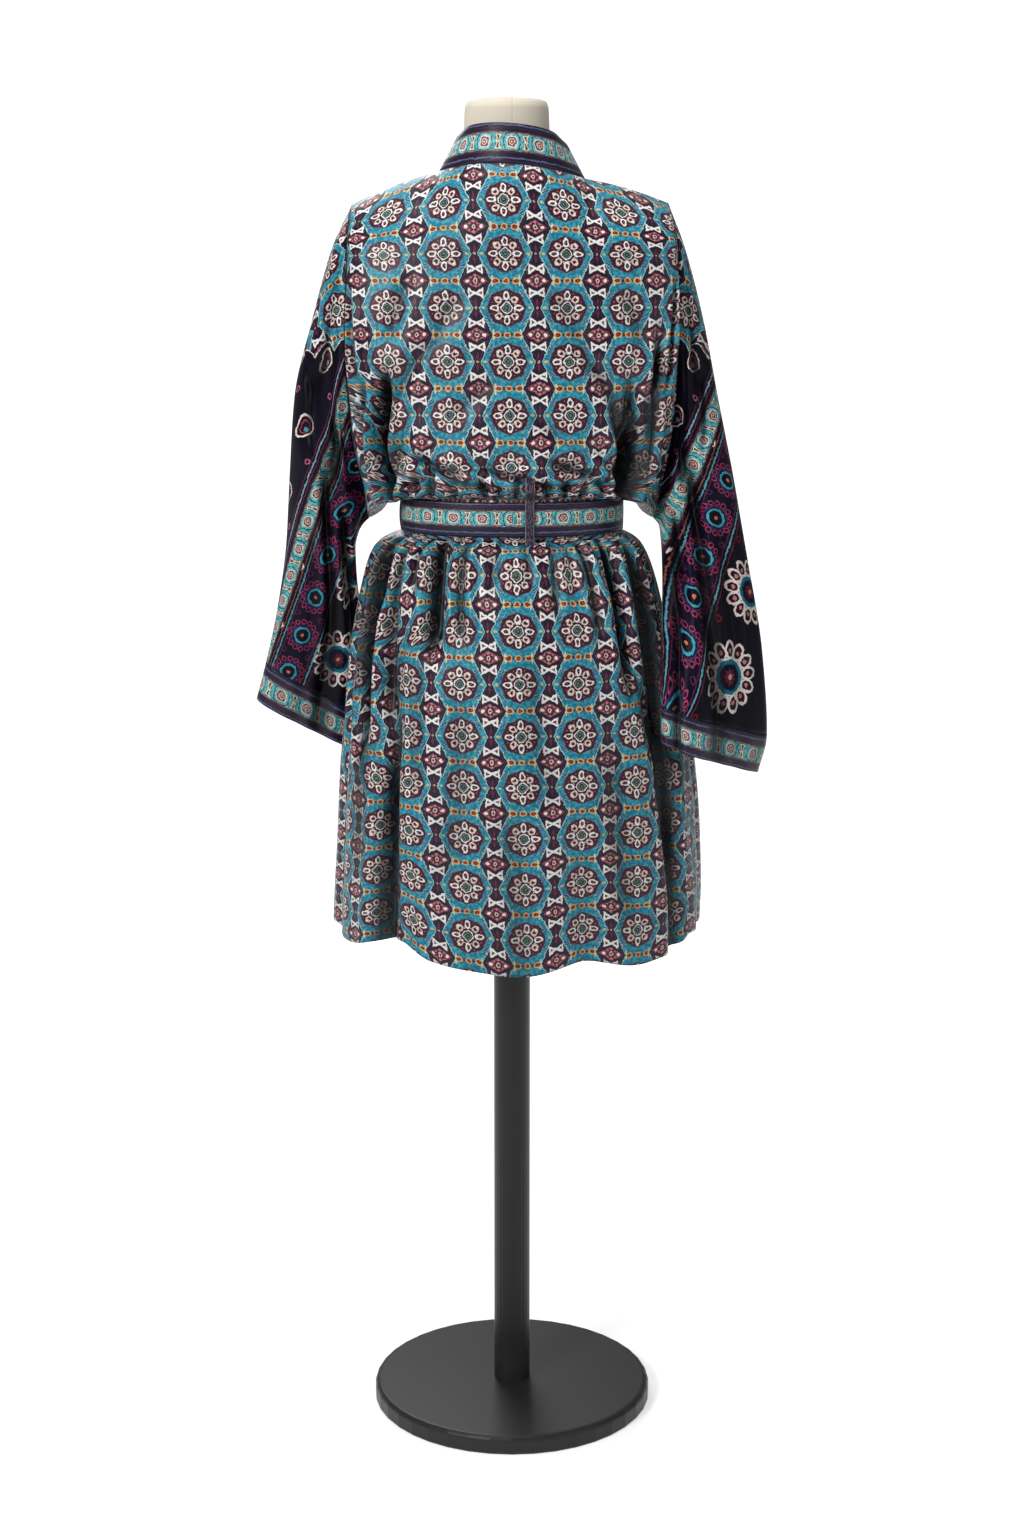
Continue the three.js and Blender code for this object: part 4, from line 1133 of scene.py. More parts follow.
def tail(name, start_x, end_x, end_z, over):
    start_z = KNOT["z"] - KNOT["height"] / 2 - SEAM_GAP
    drops = np.linspace(358, HEM_DROP, 500)
    heights = read(BODY, "drop", drops, "front_z")
    path = []
    for share in np.linspace(0, 1, 13):
        z = start_z + (end_z - start_z) * share
        drop = np.interp(-z, -heights, drops)
        face = float(read(BODY, "drop", drop, "front")) + FRONT_LAP + SEAM_GAP * 2 + BAND + 1.2
        y = -max(face, -BELT_FRONT + BAND + 3) - over
        path.append([start_x + (end_x - start_x) * float(ease(share)), y, z])
    return strap("cloth_" + name[5:], path, [1, 0, 0], 42, BAND, 90, columns=13)


def knot():
    """A ball pushed towards a box, with two grooves where the belt crosses over itself."""
    rows, columns = 40, 64
    down = np.linspace(0.02, math.pi - 0.02, rows)[:, None]
    around = np.linspace(0, 2 * math.pi, columns, endpoint=False)[None, :]
    level = np.sin(down)
    ball = np.stack([level * np.cos(around), level * np.sin(around), np.cos(down) + 0 * around], -1)
    pushed = np.sign(ball) * np.abs(ball) ** 0.55
    place = pushed * np.array([KNOT["width"], KNOT["depth"], KNOT["height"]]) / 2
    for slope, shift in ((0.55, 6), (-0.75, -7)):
        away = (place[..., 2] - slope * place[..., 0] - shift) / math.hypot(1, slope)
        place[..., 1] *= 1 - 0.2 * np.exp(-((away / 3.5) ** 2))
    place = place + [KNOT["x"], BELT_FRONT - KNOT["depth"] / 2 - SEAM_GAP, KNOT["z"]]
    ends = np.array([place[0].mean(0), place[-1].mean(0)])
    obj = capped("cloth_knot", place, ends)
    points = np.concatenate([place.reshape(-1, 3), ends])
    corners = np.empty(len(obj.data.loops), int)
    obj.data.loops.foreach_get("vertex_index", corners)
    flat = np.stack([points[:, 0] * 0.8 + points[:, 2] * 0.6, (points[:, 2] - KNOT["z"]) * 0.8 + 22], -1)
    uv = obj.data.uv_layers.new(name="flat")
    uv.data.foreach_set("uv", (flat[corners] / 1000).reshape(-1))
    return obj


for name, sizes in TAILS.items():
    pieces[name] = tail(name, **sizes)
pieces["belt_knot"] = knot()
for name in (*TAILS, "belt_knot"):
    print(facts(pieces[name]))

# %% [markdown]
# ## Dress form
#
# The form is a padded torso without limbs, and only its neck shows. A lathe would make it round, so it is
# lofted through the CAD model's rings, which are deeper in front than behind. The pole and the base keep
# their CAD solids.

# %% Form
FORM = table(
    "z side back front",
    (800, 128, 78, 74),
    (806, 144, 89, 84),
    (822, 154, 96, 90),
    (870, 160, 100, 92),
    (930, 158, 100, 91),
    (1000, 145, 93, 84),
    (1060, 122, 81, 77),
    (1110, 112, 76, 75),
    (1165, 119, 79, 84),
    (1235, 134, 84, 98),
    (1300, 146, 86, 103),
    (1355, 153, 85, 93),
    (1395, 160, 79, 74),
    (1425, 165, 66, 56),
    (1444, 164, 51, 42),
    (1457, 156, 41, 35),
    (1467.2, 139, 34, 31),
    (1474.2, 113, 33, 31),
    (1479.2, 85, 36, 37),
    (1486, 64, 42, 46),
    (1505, 53, 43, 51),
    (1532, 49, 42, 53),
    (1562, 47.5, 41.5, 53.5),
    (1569, 45, 39, 51),
    (1572.5, 38, 32, 44),
    (1574, 22, 17, 28),
)
NECK_SHIFT, NECK_SHIFT_START, NECK_SHIFT_HEIGHT = 6, 1476, 40


def dress_form():
    """The form's cover, closed at both ends. Its neck stands a little towards the wearer's left."""
    heights = np.unique(np.concatenate([np.linspace(800, 1574, 200), np.linspace(1558, 1574, 24)]))
    angles = np.linspace(0, 2 * np.pi, 120, endpoint=False)
    side = read(FORM, "z", heights, "side")[:, None]
    back = read(FORM, "z", heights, "back")[:, None]
    front = read(FORM, "z", heights, "front")[:, None]
    toward = np.cos(angles)[None, :]
    y = np.where(toward >= 0, back, front) * toward
    shift = NECK_SHIFT * ease((heights - NECK_SHIFT_START) / NECK_SHIFT_HEIGHT)
    x = shift[:, None] - side * np.sin(angles)[None, :]
    rings = np.stack([x, y, heights[:, None] + 0 * x], -1)
    ends = [[NECK_SHIFT, -6, heights[-1] + 0.4], [0, 0, heights[0]]]
    return capped("form_cover", rings[::-1], ends)


form = dress_form()
print("form cover:", len(form.data.vertices), "points")

# %% [markdown]
# ## Ink
#
# The real print is dye on satin. A picture of it would hold somebody's pixels, so the print is drawn by
# arithmetic in the shader. A small class lets sums of shader values be written as in Python, so that a motif
# reads as its shape: a distance that is negative inside.

# %% Ink tools


class Ink:
    """A number inside a material, with Python's arithmetic."""

    def __init__(self, tree, socket):
        self.tree, self.socket = tree, socket

    def math(self, operation, *others, clamp=False):
        node = self.tree.nodes.new("ShaderNodeMath")
        node.operation, node.use_clamp = operation, clamp
        for slot, value in zip(node.inputs, (self, *others)):
            if isinstance(value, Ink):
                self.tree.links.new(value.socket, slot)
            else:
                slot.default_value = value
        return Ink(self.tree, node.outputs[0])

    def __add__(self, other):
        return self.math("ADD", other)

    __radd__ = __add__

    def __sub__(self, other):
        return self.math("SUBTRACT", other)

    def __rsub__(self, other):
        return self.math("MULTIPLY_ADD", -1.0, other)

    def __mul__(self, other):
        return self.math("MULTIPLY", other)

    __rmul__ = __mul__

    def __truediv__(self, other):
        return self.math("DIVIDE", other)

    def __abs__(self):
        return self.math("ABSOLUTE")

    def least(self, other):
        return self.math("MINIMUM", other)

    def most(self, other):
        return self.math("MAXIMUM", other)

    def repeat(self, period):
        """The value inside the nearest repeat, from minus half a period to half a period."""
        return self.math("WRAP", period / 2, -period / 2)

    def fill(self, soft=0.35):
        """1 where a distance is negative and 0 where it is positive, with a soft edge."""
        return self.math("MULTIPLY_ADD", -1 / soft, 0.5, clamp=True)

    def line(self, width, soft=0.35):
        """A line of some width along where a distance is 0."""
        return (abs(self) - width / 2).fill(soft)


print("ink ready")

# %% [markdown]
# ## Dyes and places
#
# A Dye is the colour of the cloth while inks are laid over it, one after another, as in a print shop. The
# print needs to know where on the flat cloth a point lies. That place is shaken by a little noise, because a
# hand-cut print has no ruled edges.

# %% Dyes and places


def length(x, y):
    return (x * x + y * y).math("SQRT")


def rounded(x, y, half_x, half_y):
    """About how far outside an ellipse a place is."""
    return (length(x / half_x, y / half_y) - 1) * min(half_x, half_y)


def linear(colour):
    """A colour from sRGB hex to linear."""
    parts = [int(colour[i : i + 2], 16) / 255 for i in (1, 3, 5)]
    return [p / 12.92 if p <= 0.04045 else ((p + 0.055) / 1.055) ** 2.4 for p in parts] + [1.0]


class Dye:
    """The colour of a print while inks are laid over it."""

    def __init__(self, tree, colour):
        self.tree, self.colour = tree, linear(colour)

    def plug(self, slot):
        if isinstance(self.colour, list):
            slot.default_value = self.colour
        else:
            self.tree.links.new(self.colour, slot)

    def over(self, mask, colour):
        """Lays a colour, or another Dye, where the mask is 1."""
        node = self.tree.nodes.new("ShaderNodeMix")
        node.data_type = "RGBA"
        self.tree.links.new(mask.socket, node.inputs[0])
        self.plug(node.inputs[6])
        other = colour if isinstance(colour, Dye) else Dye(self.tree, colour)
        other.plug(node.inputs[7])
        self.colour = node.outputs[2]
        return self


def own_place(tree):
    """The place in the object's own space, whole and as x, y and z in metres."""
    place = tree.nodes.new("ShaderNodeTexCoord").outputs["Object"]
    split = tree.nodes.new("ShaderNodeSeparateXYZ")
    tree.links.new(place, split.inputs[0])
    return place, [Ink(tree, socket) for socket in split.outputs]


def noise_at(tree, place, scale):
    noise = tree.nodes.new("ShaderNodeTexNoise")
    noise.inputs["Scale"].default_value = scale
    tree.links.new(place, noise.inputs["Vector"])
    return Ink(tree, noise.outputs["Fac"])


def flat_place(tree, wobble=0.5):
    """The place on the flat cloth in mm, wobbled a little as in a hand-drawn print."""
    uv = tree.nodes.new("ShaderNodeUVMap")
    uv.uv_map = "flat"
    split = tree.nodes.new("ShaderNodeSeparateXYZ")
    tree.links.new(uv.outputs[0], split.inputs[0])
    x, y = (Ink(tree, split.outputs[k]) * 1000 for k in (0, 1))
    noise = tree.nodes.new("ShaderNodeTexNoise")
    noise.inputs["Scale"].default_value = 260
    noise.inputs["Detail"].default_value = 1
    tree.links.new(uv.outputs[0], noise.inputs["Vector"])
    colour = tree.nodes.new("ShaderNodeSeparateColor")
    tree.links.new(noise.outputs["Color"], colour.inputs[0])
    shake_x, shake_y, grain = (Ink(tree, colour.outputs[k]) - 0.5 for k in range(3))
    return x + shake_x * (2 * wobble), y + shake_y * (2 * wobble), grain


print("dyes ready")

# %% [markdown]
# ## The medallion print
#
# This is a common tile ornament: hexagons in a rectangular grid, whose side points nearly touch. Each holds
# a round flower, beads lie on each shared edge, and dark diamonds fill the gaps between the columns. The
# motifs are plain shapes made for this script, none traced. Folding the place about both middle lines (by
# its absolute value) draws four corners at once.

# %% Medallion print
HEX_WIDE, HEX_HIGH, HEX_POINT, HEX_FLAT = 68.0, 59.0, 31.6, 17.0
TEAL, TEAL_LIGHT, TEAL_DARK, BLOCK = "#1b7b95", "#45adc4", "#0f4757", "#1b5680"
CYAN, NAVY, PLUM = "#a3dce0", "#110d22", "#3d1426"
CREAM, GOLD, RED, ROSE = "#fcfaf6", "#e6c27a", "#841c1c", "#ad5563"
CRIMSON, RUST, SHEEN, MAROON = "#6f2740", "#9a5d4c", "#6a6a90", "#54172a"
BONE, GROUND = "#efd6cc", "#151128"


def mottle_of(tree):
    """Larger patches where the dye took unevenly, about 0 in the middle."""
    uv = tree.nodes.new("ShaderNodeUVMap")
    uv.uv_map = "flat"
    return noise_at(tree, uv.outputs[0], 60) - 0.5


def hexagon_band(dye, p, q, edge, mottle):
    """The teal ring with its darker blocks and hatching, a pale inner line and a dot at each corner."""
    dye.over(mottle.math("MULTIPLY_ADD", 4.0, -0.35, clamp=True), BLOCK)
    block = abs((p * 0.55 + q * 0.84).repeat(11.0)) - 2.4
    dye.over((abs(edge + 4.4) - 2.2).most(block).fill(), BLOCK)
    dye.over((abs(edge + 4.4) - 2.8).most(block + 1.2).line(0.4), CYAN)
    dye.over((edge + 1.3).line(0.8), CYAN)
    dye.over(rounded(p - 25.8, q, 2.1, 1.4).fill(), GOLD)
    dye.over((length(p - 20.6, q - 17.4) - 0.9).fill(), GOLD)


def round_flower(dye, p, q):
    """Loops and lobes in eight directions round a ringed centre, on a plum octagon."""
    field = (p * 0.92 + q * 0.383).most(p * 0.383 + q * 0.96) - 20.4
    dye.over(field.fill(), PLUM).over((field + 0.7).line(1.0), MAROON)
    p, q = p * 1.08, q * 1.08
    along, beside = p.most(q), p.least(q)
    loop = rounded(along - 14.6, beside * (0.62 + along * 0.03), 4.6, 3.0)
    dye.over(loop.line(1.7), CREAM).over((length(along - 14.4, beside) - 0.8).fill(), ROSE)
    diagonal, off = (p + q) * 0.7071, (p - q) * 0.7071
    lobe = rounded(diagonal - 13.8, off, 3.7, 3.1)
    dye.over(lobe.line(1.9), BONE).over((length(diagonal - 16.2, off) - 1.3).fill(), CREAM)
    dye.over((length(along - 16.6, beside - 7.0) - 0.9).fill(), ROSE)
    dye.over((length(along - 9.8, beside - 4.0) - 0.8).fill(), BONE)
    centre = length(p, q) * 0.6 + (p + q) * 0.28 - 6.0
    dye.over(centre.line(1.2), CREAM).over((centre + 2.4).line(0.9), "#5d9a86")
    dye.over((centre + 4.6).fill(), "#3f8f86")


def bead_row(dye, p, t):
    """Three gold beads with red hearts on a shared edge, and a pale prong at each end."""
    dye.over(t.line(2.6).math("MULTIPLY", (p - 15).fill()), MAROON)
    for place, half_x, half_y in ((0, 3.2, 2.7), (11.6, 3.8, 2.9)):
        bead = rounded(p - place, t, half_x, half_y)
        dye.over(bead.fill(), RED).over(bead.line(1.2), GOLD)
        dye.over(rounded(p - place - 0.6, t, 1.1, 0.8).fill(), "#b5482a")
    dye.over(rounded(p - 15.2, t - 3.4, 1.0, 2.6).fill(), "#efdcae")


def dark_diamond(dye, s, t, edge):
    """The plum ground between two columns: a rose lozenge with two pearls, bow ties above and below it."""
    dye.over((edge * -1).fill(), GROUND).over(edge.line(1.3), NAVY).over((edge - 1.5).line(0.5), CRIMSON)
    lozenge = s * 0.5 + t * 0.86 - 7.0
    dye.over(lozenge.fill(), "#4a2336").over((lozenge + 0.8).line(1.4), ROSE)
    pearl = rounded(s - 8.6, t, 3.6, 3.3)
    dye.over(pearl.fill(), ROSE).over((pearl + 0.9).line(0.8), RED).over((pearl + 1.4).fill(), CREAM)
    dye.over(rounded(s, t, 1.8, 2.2).line(1.1), BONE).over((length(s, t - 5.6) - 1.3).fill(), "#d58f8c")
    dye.over((length(s - 4.6, t - 3.6) - 1.2).fill(), "#c07a80")
    rise = abs(t - 13.2)
    dye.over((rise - 1.2 - s * 0.54).most(s - 8.8).fill(), CREAM)
    dye.over((rise + 1.5 - s * 0.52).most(s - 6.9).fill(), CRIMSON)
    dye.over((s * 3.4 + abs(t - 23.4) - 5.2).fill(), CRIMSON)
    dye.over((length(s, t - HEX_HIGH / 2) - 1.2).fill(), "#d9a890")


def medallion_print(tree, x, y, grain):
    p, q = abs(x.repeat(HEX_WIDE)), abs(y.repeat(HEX_HIGH))
    s, t = HEX_WIDE / 2 - p, HEX_HIGH / 2 - q
    lean = (HEX_POINT - HEX_FLAT) / (HEX_HIGH / 2)
    edge = (p + q * lean - HEX_POINT) * 0.914
    dye = Dye(tree, TEAL).over(grain.math("MULTIPLY_ADD", 4.5, 0.4, clamp=True), TEAL_LIGHT)
    hexagon_band(dye, p, q, edge, mottle_of(tree))
    round_flower(dye, p, q)
    bead_row(dye, p, t)
    dark_diamond(dye, s, t, edge)
    return dye


print("medallion print ready")

# %% [markdown]
# ## The border print
#
# Belt, cuffs and bands share one border. Across it lie a navy edge, a rust line, the teal stripe with its
# round spirals and bars, a rust line and a plum edge with a sheen line. Raised stripes could be modelled,
# but on the real cloth they are only dye. Along counts on the band, across from 0 to 45 mm.

# %% Border print
BORDER_PITCH, STRIPE_MIDDLE, STRIPE_HALF = 34.0, 24.2, 9.6
STRIPE_TEAL, STRIPE_LIGHT = "#35a0ac", "#7fd6d8"


def spiral_medallion(dye, u, v):
    """A cream double ring with a paler curl inside, and dark arcs round it."""
    ring = u.most(abs(v)) * 0.45 + length(u, v) * 0.62
    dye.over((ring - 10.6).line(1.1), TEAL_DARK).over((ring - 8.9).line(0.5), CYAN)
    dye.over((ring - 7.2).fill(), "#6d4650").over((ring - 6.6).line(1.6), "#f6eadc")
    dye.over((length(u, v) - 3.2).line(1.4), "#f0c4b4").over((length(u, v) - 1.1).fill(), "#f6eadc")


def bone_bar(dye, bar, w):
    """Two thin shafts with a waist and flared ends."""
    flare = (w / 7.8).math("POWER", 3.0) * 2.6
    shape = (bar - 1.9 - flare).most(w - 8.2)
    dye.over((shape - 0.8).fill(), TEAL_DARK).over(shape.fill(), "#f6e8cf")
    dye.over((bar - 0.7 - flare * 0.45).most(w - 7.0).fill(), MAROON)
    dye.over((w - 0.8).most(bar - 2.6).fill(), "#f6e8cf")


def border_print(tree, along, across, grain):
    u, v = abs(along.repeat(BORDER_PITCH)), across - STRIPE_MIDDLE
    w = abs(v)
    dye = Dye(tree, STRIPE_TEAL).over(grain.math("MULTIPLY_ADD", 4.5, 0.42, clamp=True), STRIPE_LIGHT)
    spiral_medallion(dye, u, v)
    bone_bar(dye, BORDER_PITCH / 2 - u, w)
    dye.over((STRIPE_HALF - w).fill(), "#17142e")
    dye.over((w - 10.1).line(0.9), RUST).over((w - 11.6).line(0.6), "#5b2438")
    edges = ((6.0, 1.6, SHEEN), (2.0, 0.8, "#33234a"), (39.2, 0.9, "#3f2b4a"), (42.6, 1.3, SHEEN))
    for place, width, colour in edges:
        dye.over((across - place).line(width, 1.0), colour)
    return dye


print("border print ready")

# %% [markdown]
# ## The sleeve print
#
# High on the sleeve the medallion print goes on. Below a scalloped edge the ground is near black, and
# slanting stripes cross it with rosettes and large daisies between them. Patches of mesh could carry them.
# Layers in one shader keep every stripe whole across the folds. Stripe counts across them, run along them.

# %% Sleeve print
STRIPES = {
    "left": {"x": -182.0, "z": 1240.0, "lean": 23.0},
    "right": {"x": 220.0, "z": 1240.0, "lean": 22.0},
}
PRINT_EDGE = 1268.0
DAISIES = {"left": (96, 26), "right": (104, 14)}


def polar_repeat(x, y, count):
    """Radius and the place beside the middle of the nearest of count equal sectors."""
    radius = length(x, y)
    angle = y.math("ARCTAN2", x).repeat(2 * math.pi / count)
    return radius, radius * angle.math("COSINE"), radius * angle.math("SINE")


def daisy(dye, x, y):
    radius, along, beside = polar_repeat(x, y, 13)
    petal = rounded(along - 25.5, beside, 8.0, 5.4)
    dye.over(petal.fill(), "#2a1128").over(petal.line(2.1), "#fff4ea")
    dye.over((length(along - 24.5, beside) - 2.2).fill(), "#d98a8c")
    dye.over((radius - 17.0).fill(), TEAL).over((radius - 17.0).line(1.3), CREAM)
    dye.over((radius - 12.0).fill(), NAVY).over((radius - 12.6).line(0.8), BLOCK)
    radius, ray, width = polar_repeat(x, y, 9)
    dye.over((abs(width) * 2.2 + ray - 8.6).fill(), CRIMSON).over((radius - 2.4).fill(), "#d9a27a")


def rosette(dye, x, y):
    radius, along, beside = polar_repeat(x, y, 14)
    dye.over((length(along - 16.6, beside) - 2.6).line(1.1), "#b04468")
    dye.over((radius - 12.6).line(1.2), "#5a3070")
    dye.over((radius - 9.6).fill(), NAVY).over((radius - 9.0).line(2.4), "#45b0c4")
    dye.over((radius - 2.0).fill(), "#e08a5a")


def paisley(dye, x, y):
    """A bent drop with an outline and a ringed eye."""
    drop = length(x + abs(y) * 0.35, y * 0.75) - 9.5
    dye.over(drop.line(1.9), "#fff0e2").over((drop + 4.2).line(1.2), "#b04468")
    dye.over((length(x - 1, y + 2) - 2.6).fill(), "#45b0c4")


def sleeve_print(side, tree, x, z, grain):
    lean = math.radians(STRIPES[side]["lean"])
    dx, dz = x - STRIPES[side]["x"], z - STRIPES[side]["z"]
    stripe = dx * math.cos(lean) - dz * math.sin(lean)
    run = dx * math.sin(lean) + dz * math.cos(lean)
    dye = Dye(tree, "#0b0719")
    paisley(dye, (stripe + 26).repeat(46), (run - 10).repeat(74))
    dye.over((length((stripe + 8).repeat(46), (run + 26).repeat(74)) - 2.6).line(1.3), "#c06a88")
    # The navy stripe with its rosettes, and the black ground with the large daisies
    dye.over((abs(stripe - 56) - 23).fill(), "#120e26")
    rosette(dye, stripe - 56, run.repeat(48))
    dye.over((length(abs(stripe - 56) - 15, (run - 24).repeat(48)) - 2.6).line(0.9), "#6a3358")
    dye.over((stripe * -1 + 80).fill(), "#0f0c1a")
    daisy_at, daisy_run = DAISIES[side]
    daisy(dye, stripe - daisy_at - 16, (run + daisy_run).repeat(92))
    dye.over((length((stripe - daisy_at + 16), (run + daisy_run + 46).repeat(92)) - 3.0).line(1.2), RED)
    # The teal stripe is a narrow border print
    border = border_print(tree, run * 1.05, (stripe - 17.2) * 1.18 + STRIPE_MIDDLE, grain)
    dye.over((abs(stripe - 17.2) - 11.0).fill(), border)
    for place, width, colour in (
        (-3.6, 1.0, "#6a2848"),
        (0.0, 1.5, "#8fb4cc"),
        (3.4, 1.1, "#6a3040"),
        (31.0, 1.0, RUST),
        (35.0, 1.5, "#5fa5b5"),
        (38.4, 1.1, "#6a2848"),
        (75.0, 1.2, "#6a2848"),
        (79.0, 1.7, "#6fb0bd"),
        (83.2, 1.2, CRIMSON),
    ):
        dye.over((stripe - place).line(width), colour)
    turn = math.radians(20 if side == "left" else -20)
    hex_x = x * math.cos(turn) + z * math.sin(turn)
    hex_y = z * math.cos(turn) - x * math.sin(turn)
    high = PRINT_EDGE - z + abs((x * 0.1).math("SINE")) * 13
    return dye.over(high.fill(), medallion_print(tree, hex_x, hex_y, grain)).over(high.line(1.4), CREAM)


print("sleeve print ready")

# %% [markdown]
# ## Cloth finishes
#
# The cloth is a soft satin: a broad sheen and a fine weave as bump, and deep in a fold its print is painted
# dark as painted shade. Its threads could be modelled, but from here only their grain shows. Values that
# hold all over are set straight on the shader.

# %% Materials


def new_material(name, roughness, **values):
    material = bpy.data.materials.new(name)
    material.use_nodes = True
    shader = material.node_tree.nodes["Principled BSDF"]
    shader.inputs["Roughness"].default_value = roughness
    for key, value in values.items():
        shader.inputs[key.replace("_", " ")].default_value = value
    return material, material.node_tree, shader


def weave(tree, shader, scale, strength, distance=0.0002):
    """A fine bump over the whole cloth."""
    place = tree.nodes.new("ShaderNodeTexCoord")
    noise = tree.nodes.new("ShaderNodeTexNoise")
    noise.inputs["Scale"].default_value = scale
    noise.inputs["Detail"].default_value = 2
    bump = tree.nodes.new("ShaderNodeBump")
    bump.inputs["Strength"].default_value = strength
    bump.inputs["Distance"].default_value = distance
    tree.links.new(place.outputs["Object"], noise.inputs["Vector"])
    tree.links.new(noise.outputs["Fac"], bump.inputs["Height"])
    tree.links.new(bump.outputs["Normal"], shader.inputs["Normal"])


def satin(name, sheen=0.1, gloss=0.3):
    material, tree, shader = new_material(
        name, 0.44, Sheen_Weight=sheen, Sheen_Roughness=0.35, Specular_IOR_Level=gloss
    )
    weave(tree, shader, 900, 0.22)
    return material, tree, shader


def print_material(name, painter, wobble=1.7, **finish):
    """A printed satin. Deep in a fold hardly any light gets at the cloth, so the print's colour is painted
    nearly black there as painted shade.
    """
    material, tree, shader = satin(name, **finish)
    x, y, grain = flat_place(tree, wobble=wobble)
    fold = tree.nodes.new("ShaderNodeAttribute")
    fold.attribute_name = "shade"
    # Painted shade: the shade attribute darkens the print towards near black in folds, creases and joins.
    shade = Ink(tree, fold.outputs["Fac"]).math("MULTIPLY", 0.94, clamp=True)
    painter(tree, x, y, grain).over(shade, "#040308").plug(shader.inputs["Base Color"])
    return material


def loop_print(tree, along, across, grain):
    """Navy and grey mottles between pale edges."""
    dye = Dye(tree, "#141126").over((grain * 16).math("ADD", 0.1, clamp=True), "#5e5468")
    return dye.over((abs(across - 22.5) - 19.0).line(2.4, 1.2), "#9a8f90")


def cord_satin():
    """Plum and violet mottles for the thin cord."""
    material, tree, shader = satin("navy_satin")
    grain = flat_place(tree)[2]
    dye = Dye(tree, "#2c2038").over(grain.math("MULTIPLY_ADD", 2.0, 0.3, clamp=True), "#4a3a5c")
    dye.plug(shader.inputs["Base Color"])
    return material


PRINT_X, PRINT_Y, PRINT_LEAN, SKIRT_SHIFT = 7.5, 7.5, -0.03, -7.5


def body_print(tree, x, y, grain):
    """The medallion print on the body. The belt hides where it moves down a little."""
    below = y.math("MULTIPLY_ADD", 1 / 40, -300 / 40, clamp=True)
    return medallion_print(tree, x + y * PRINT_LEAN + PRINT_X, y + PRINT_Y + below * SKIRT_SHIFT, grain)


medallions = print_material("medallion_satin", body_print)
borders = print_material("border_satin", border_print)
loops = print_material("loop_satin", loop_print)
sleeve_cloths = {}
for side in SHOULDERS:
    painter = functools.partial(sleeve_print, side)
    sleeve_cloths[side] = print_material("sleeve_satin_" + side, painter, sheen=0.02, gloss=0.09)
cord_cloth = cord_satin()
for material in (medallions, borders, *sleeve_cloths.values(), cord_cloth):
    print(material.name, len(material.node_tree.nodes), "nodes")

# %% [markdown]
# ## Stand finishes
#
# The form wears matte cream jersey with a seam down the middle of its back. The stand has a satin charcoal
# powder coat, with painted shade that makes the pole darker than the base. Noise in the object's own space
# gives both their grain, since neither has a weave that would need a flat place.

# %% Stand materials


def jersey_cover():
    """Cream jersey with a slightly darker seam down the middle of the back."""
    material, tree, shader = new_material("cream_jersey", 0.92, Sheen_Weight=0.15)
    place, (x, y, z) = own_place(tree)
    dye = Dye(tree, "#eadfcb").over(noise_at(tree, place, 160).math("MULTIPLY", 0.6), "#f3eadb")
    seam = (x * 1000).line(0.7, 0.8)
    dye.over(seam.math("MULTIPLY", 0.45), "#a8957c")
    dye.plug(shader.inputs["Base Color"])
    weave(tree, shader, 1400, 0.35)
    return material


def powder_coat():
    """Satin charcoal powder coat, with a fine orange-peel grain, faint colour mottle and painted shade that
    darkens the pole.
    """
    material, tree, shader = new_material("charcoal_powder_coat", 0.42, Specular_IOR_Level=0.3)
    place, (x, y, z) = own_place(tree)
    # Painted shade: above 5 cm, on the pole, the coat is painted darker than on the base.
    height = (z - 0.05).math("MULTIPLY", 30, clamp=True)
    dye = Dye(tree, "#29292b").over(noise_at(tree, place, 900), "#323234")
    dye.over(height.math("MULTIPLY", 0.8), "#0a0a0b").plug(shader.inputs["Base Color"])
    weave(tree, shader, 2200, 0.12, 0.0001)
    return material


jersey, coat = jersey_cover(), powder_coat()
for material in (jersey, coat):
    print(material.name, len(material.node_tree.nodes), "nodes")

# %% [markdown]
# ## Dressing the parts
#
# Every piece of cloth takes the place of one CAD solid: the solid is hidden, and the piece gets its finish
# and is attached to the root. One loop at the end does this for all, with the border print as the usual
# finish. The pole and the base keep their solids and only get the coat.

# %% Dress the pieces
FINISHES = {
    "back_panel": (medallions, "printed_cloth"),
    "front_left": (medallions, "printed_cloth"),
    "front_right": (medallions, "printed_cloth"),
    "sleeve_left": (sleeve_cloths["left"], "sleeve_cloth"),
    "sleeve_right": (sleeve_cloths["right"], "sleeve_cloth"),
    "belt_loop_back": (loops, "loop_cloth"),
    "belt_loop_side": (cord_cloth, "loop_cloth"),
    "dress_form": (jersey, "form_cover"),
}
pieces["dress_form"] = form
for name, piece in pieces.items():
    material, slot_name = FINISHES.get(name, (borders, "border_cloth"))
    piece.data.materials.append(material)
    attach(piece, "root")
    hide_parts(name)
for name in ("pole", "base"):
    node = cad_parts[name]
    node.data.materials.clear()
    node.data.materials.append(coat)
print(len(pieces), "pieces dressed, and the pole and the base coated")

# %% [markdown]
# ## The flat cuts
#
# Each piece was cut from flat cloth before it was sewn and hung. Its place on that flat cloth is worked
# out with its mesh, as the flat map that the print reads.

# %% [markdown]
# ## Camera
#
# The photograph was taken from a little above, and the round base shows as an ellipse. The camera's height,
# pitch and focal length come from that ellipse, so the outline falls where it does in the photograph.

# %% Camera
CAMERA_HEIGHT, CAMERA_AWAY, CAMERA_PITCH, FOCAL_PIXELS = 1.428, 2.95, 12.0, 2531.0
camera_data = bpy.data.cameras.new("camera")
camera_data.sensor_width = 36
camera_data.lens = 36 * FOCAL_PIXELS / 1536
camera = bpy.data.objects.new("camera", camera_data)
bpy.context.scene.collection.objects.link(camera)
camera.location = (0, CAMERA_AWAY, CAMERA_HEIGHT)
camera.rotation_euler = (math.radians(90 - CAMERA_PITCH), 0, math.pi)
bpy.context.scene.camera = camera
print("lens", round(camera_data.lens, 1), "mm")
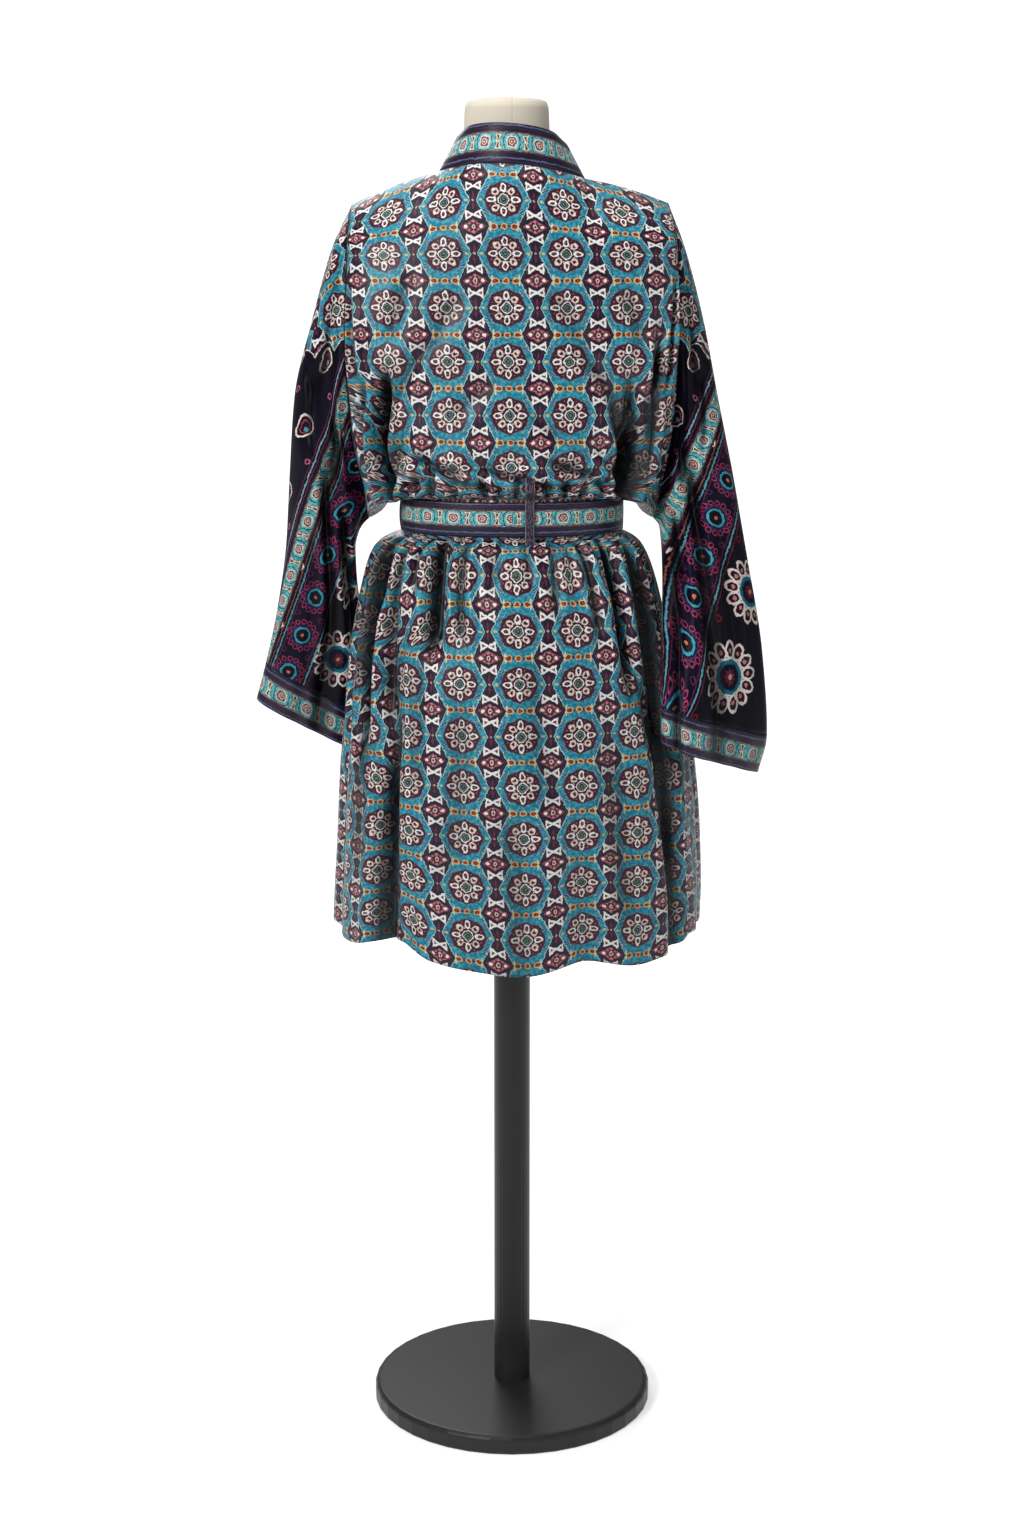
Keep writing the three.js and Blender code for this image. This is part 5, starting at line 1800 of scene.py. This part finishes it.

# %% [markdown]
# ## Room
#
# The jacket stands on a white studio sweep. A modelled sweep has a back that would hide the other views, so
# a large white disc and a round white wall far out stand in for it. The disc's glow is painted light for a
# lit
# studio floor: it grows with the distance from the jacket, so that near the base the lamps' soft contact
# shadow still shows.

# %% Room
ROOM_RADIUS, ROOM_HEIGHT, GLOW_START, GLOW_FULL = 6.5, 6.0, 0.3, 1.6
DISC_POINTS = 96


def disc_points(radius, z):
    angles = np.linspace(0, 2 * math.pi, DISC_POINTS, endpoint=False)
    return np.stack([radius * np.cos(angles), radius * np.sin(angles), 0 * angles + z], -1) * 1000


def white_material(name, near, far):
    """White that glows by an amount which grows from near to far with the distance from the middle."""
    material, tree, shader = new_material(name, 0.95, Specular_IOR_Level=0.0)
    shader.inputs["Base Color"].default_value = (0.85, 0.85, 0.85, 1)
    shader.inputs["Emission Color"].default_value = (1, 1, 1, 1)
    place, (x, y, z) = own_place(tree)
    radius = length(x, y)
    share = (radius - GLOW_START) / (GLOW_FULL - GLOW_START)
    # Painted light: on the floor the glow stands in for studio light and is weaker near the jacket; the wall
    # glows evenly as a backdrop.
    glow = share.math("ADD", 0.0, clamp=True) * (far - near) + near
    tree.links.new(glow.socket, shader.inputs["Emission Strength"])
    return material


floor = make_object("floor", disc_points(ROOM_RADIUS, 0), [list(range(DISC_POINTS))])
wall_rings = np.stack([disc_points(ROOM_RADIUS, 0), disc_points(ROOM_RADIUS, ROOM_HEIGHT)])
wall_faces_in = cell_faces(closed(np.arange(2 * DISC_POINTS).reshape(2, DISC_POINTS)))
wall = make_object("wall", wall_rings.reshape(-1, 3), wall_faces_in.tolist())
for stage, near, far in ((floor, 0.56, 1.0), (wall, 1.0, 1.0)):
    stage.data.materials.append(white_material(stage.name + "_white", near, far))
floor.visible_diffuse = False
wall.visible_diffuse = wall.visible_glossy = wall.visible_shadow = False
print("room", ROOM_RADIUS, "m out and", ROOM_HEIGHT, "m high")

# %% [markdown]
# ## Light
#
# The main lamp stands above the camera and to its left, a weak one fills the other side, and two more light
# the top and the front. They are large area lamps, because the photograph's shadows have soft edges.

# %% Light
world = bpy.data.worlds.new("studio")
bpy.context.scene.world = world
world.use_nodes = True
world.node_tree.nodes["Background"].inputs["Color"].default_value = (1, 1, 1, 1)
world.node_tree.nodes["Background"].inputs["Strength"].default_value = 0.2


def soft_light(name, place, target, wide, high, power):
    """A rectangular lamp that faces a place."""
    data = bpy.data.lights.new(name, "AREA")
    data.shape, data.size, data.size_y, data.energy = "RECTANGLE", wide, high, power
    lamp = bpy.data.objects.new(name, data)
    bpy.context.scene.collection.objects.link(lamp)
    lamp.location = place
    away = np.array(target, float) - np.array(place, float)
    flat_away = math.hypot(away[0], away[1])
    lamp.rotation_euler = (math.atan2(flat_away, -away[2]), 0, math.atan2(-away[0], away[1]))
    return lamp


soft_light("key", (1.5, 2.2, 2.1), (0, 0, 1.0), 0.7, 0.8, 43)
soft_light("fill", (-2.3, 1.5, 1.5), (0, 0, 1.0), 1.0, 1.6, 7)
soft_light("top", (0.2, 0.2, 3.4), (0, 0, 1.0), 1.0, 1.0, 24)
soft_light("front", (0.5, -2.3, 2.3), (0, 0, 1.0), 1.2, 1.4, 26)
bpy.context.scene.view_settings.view_transform = "Standard"
print(len(bpy.data.lights), "lamps")
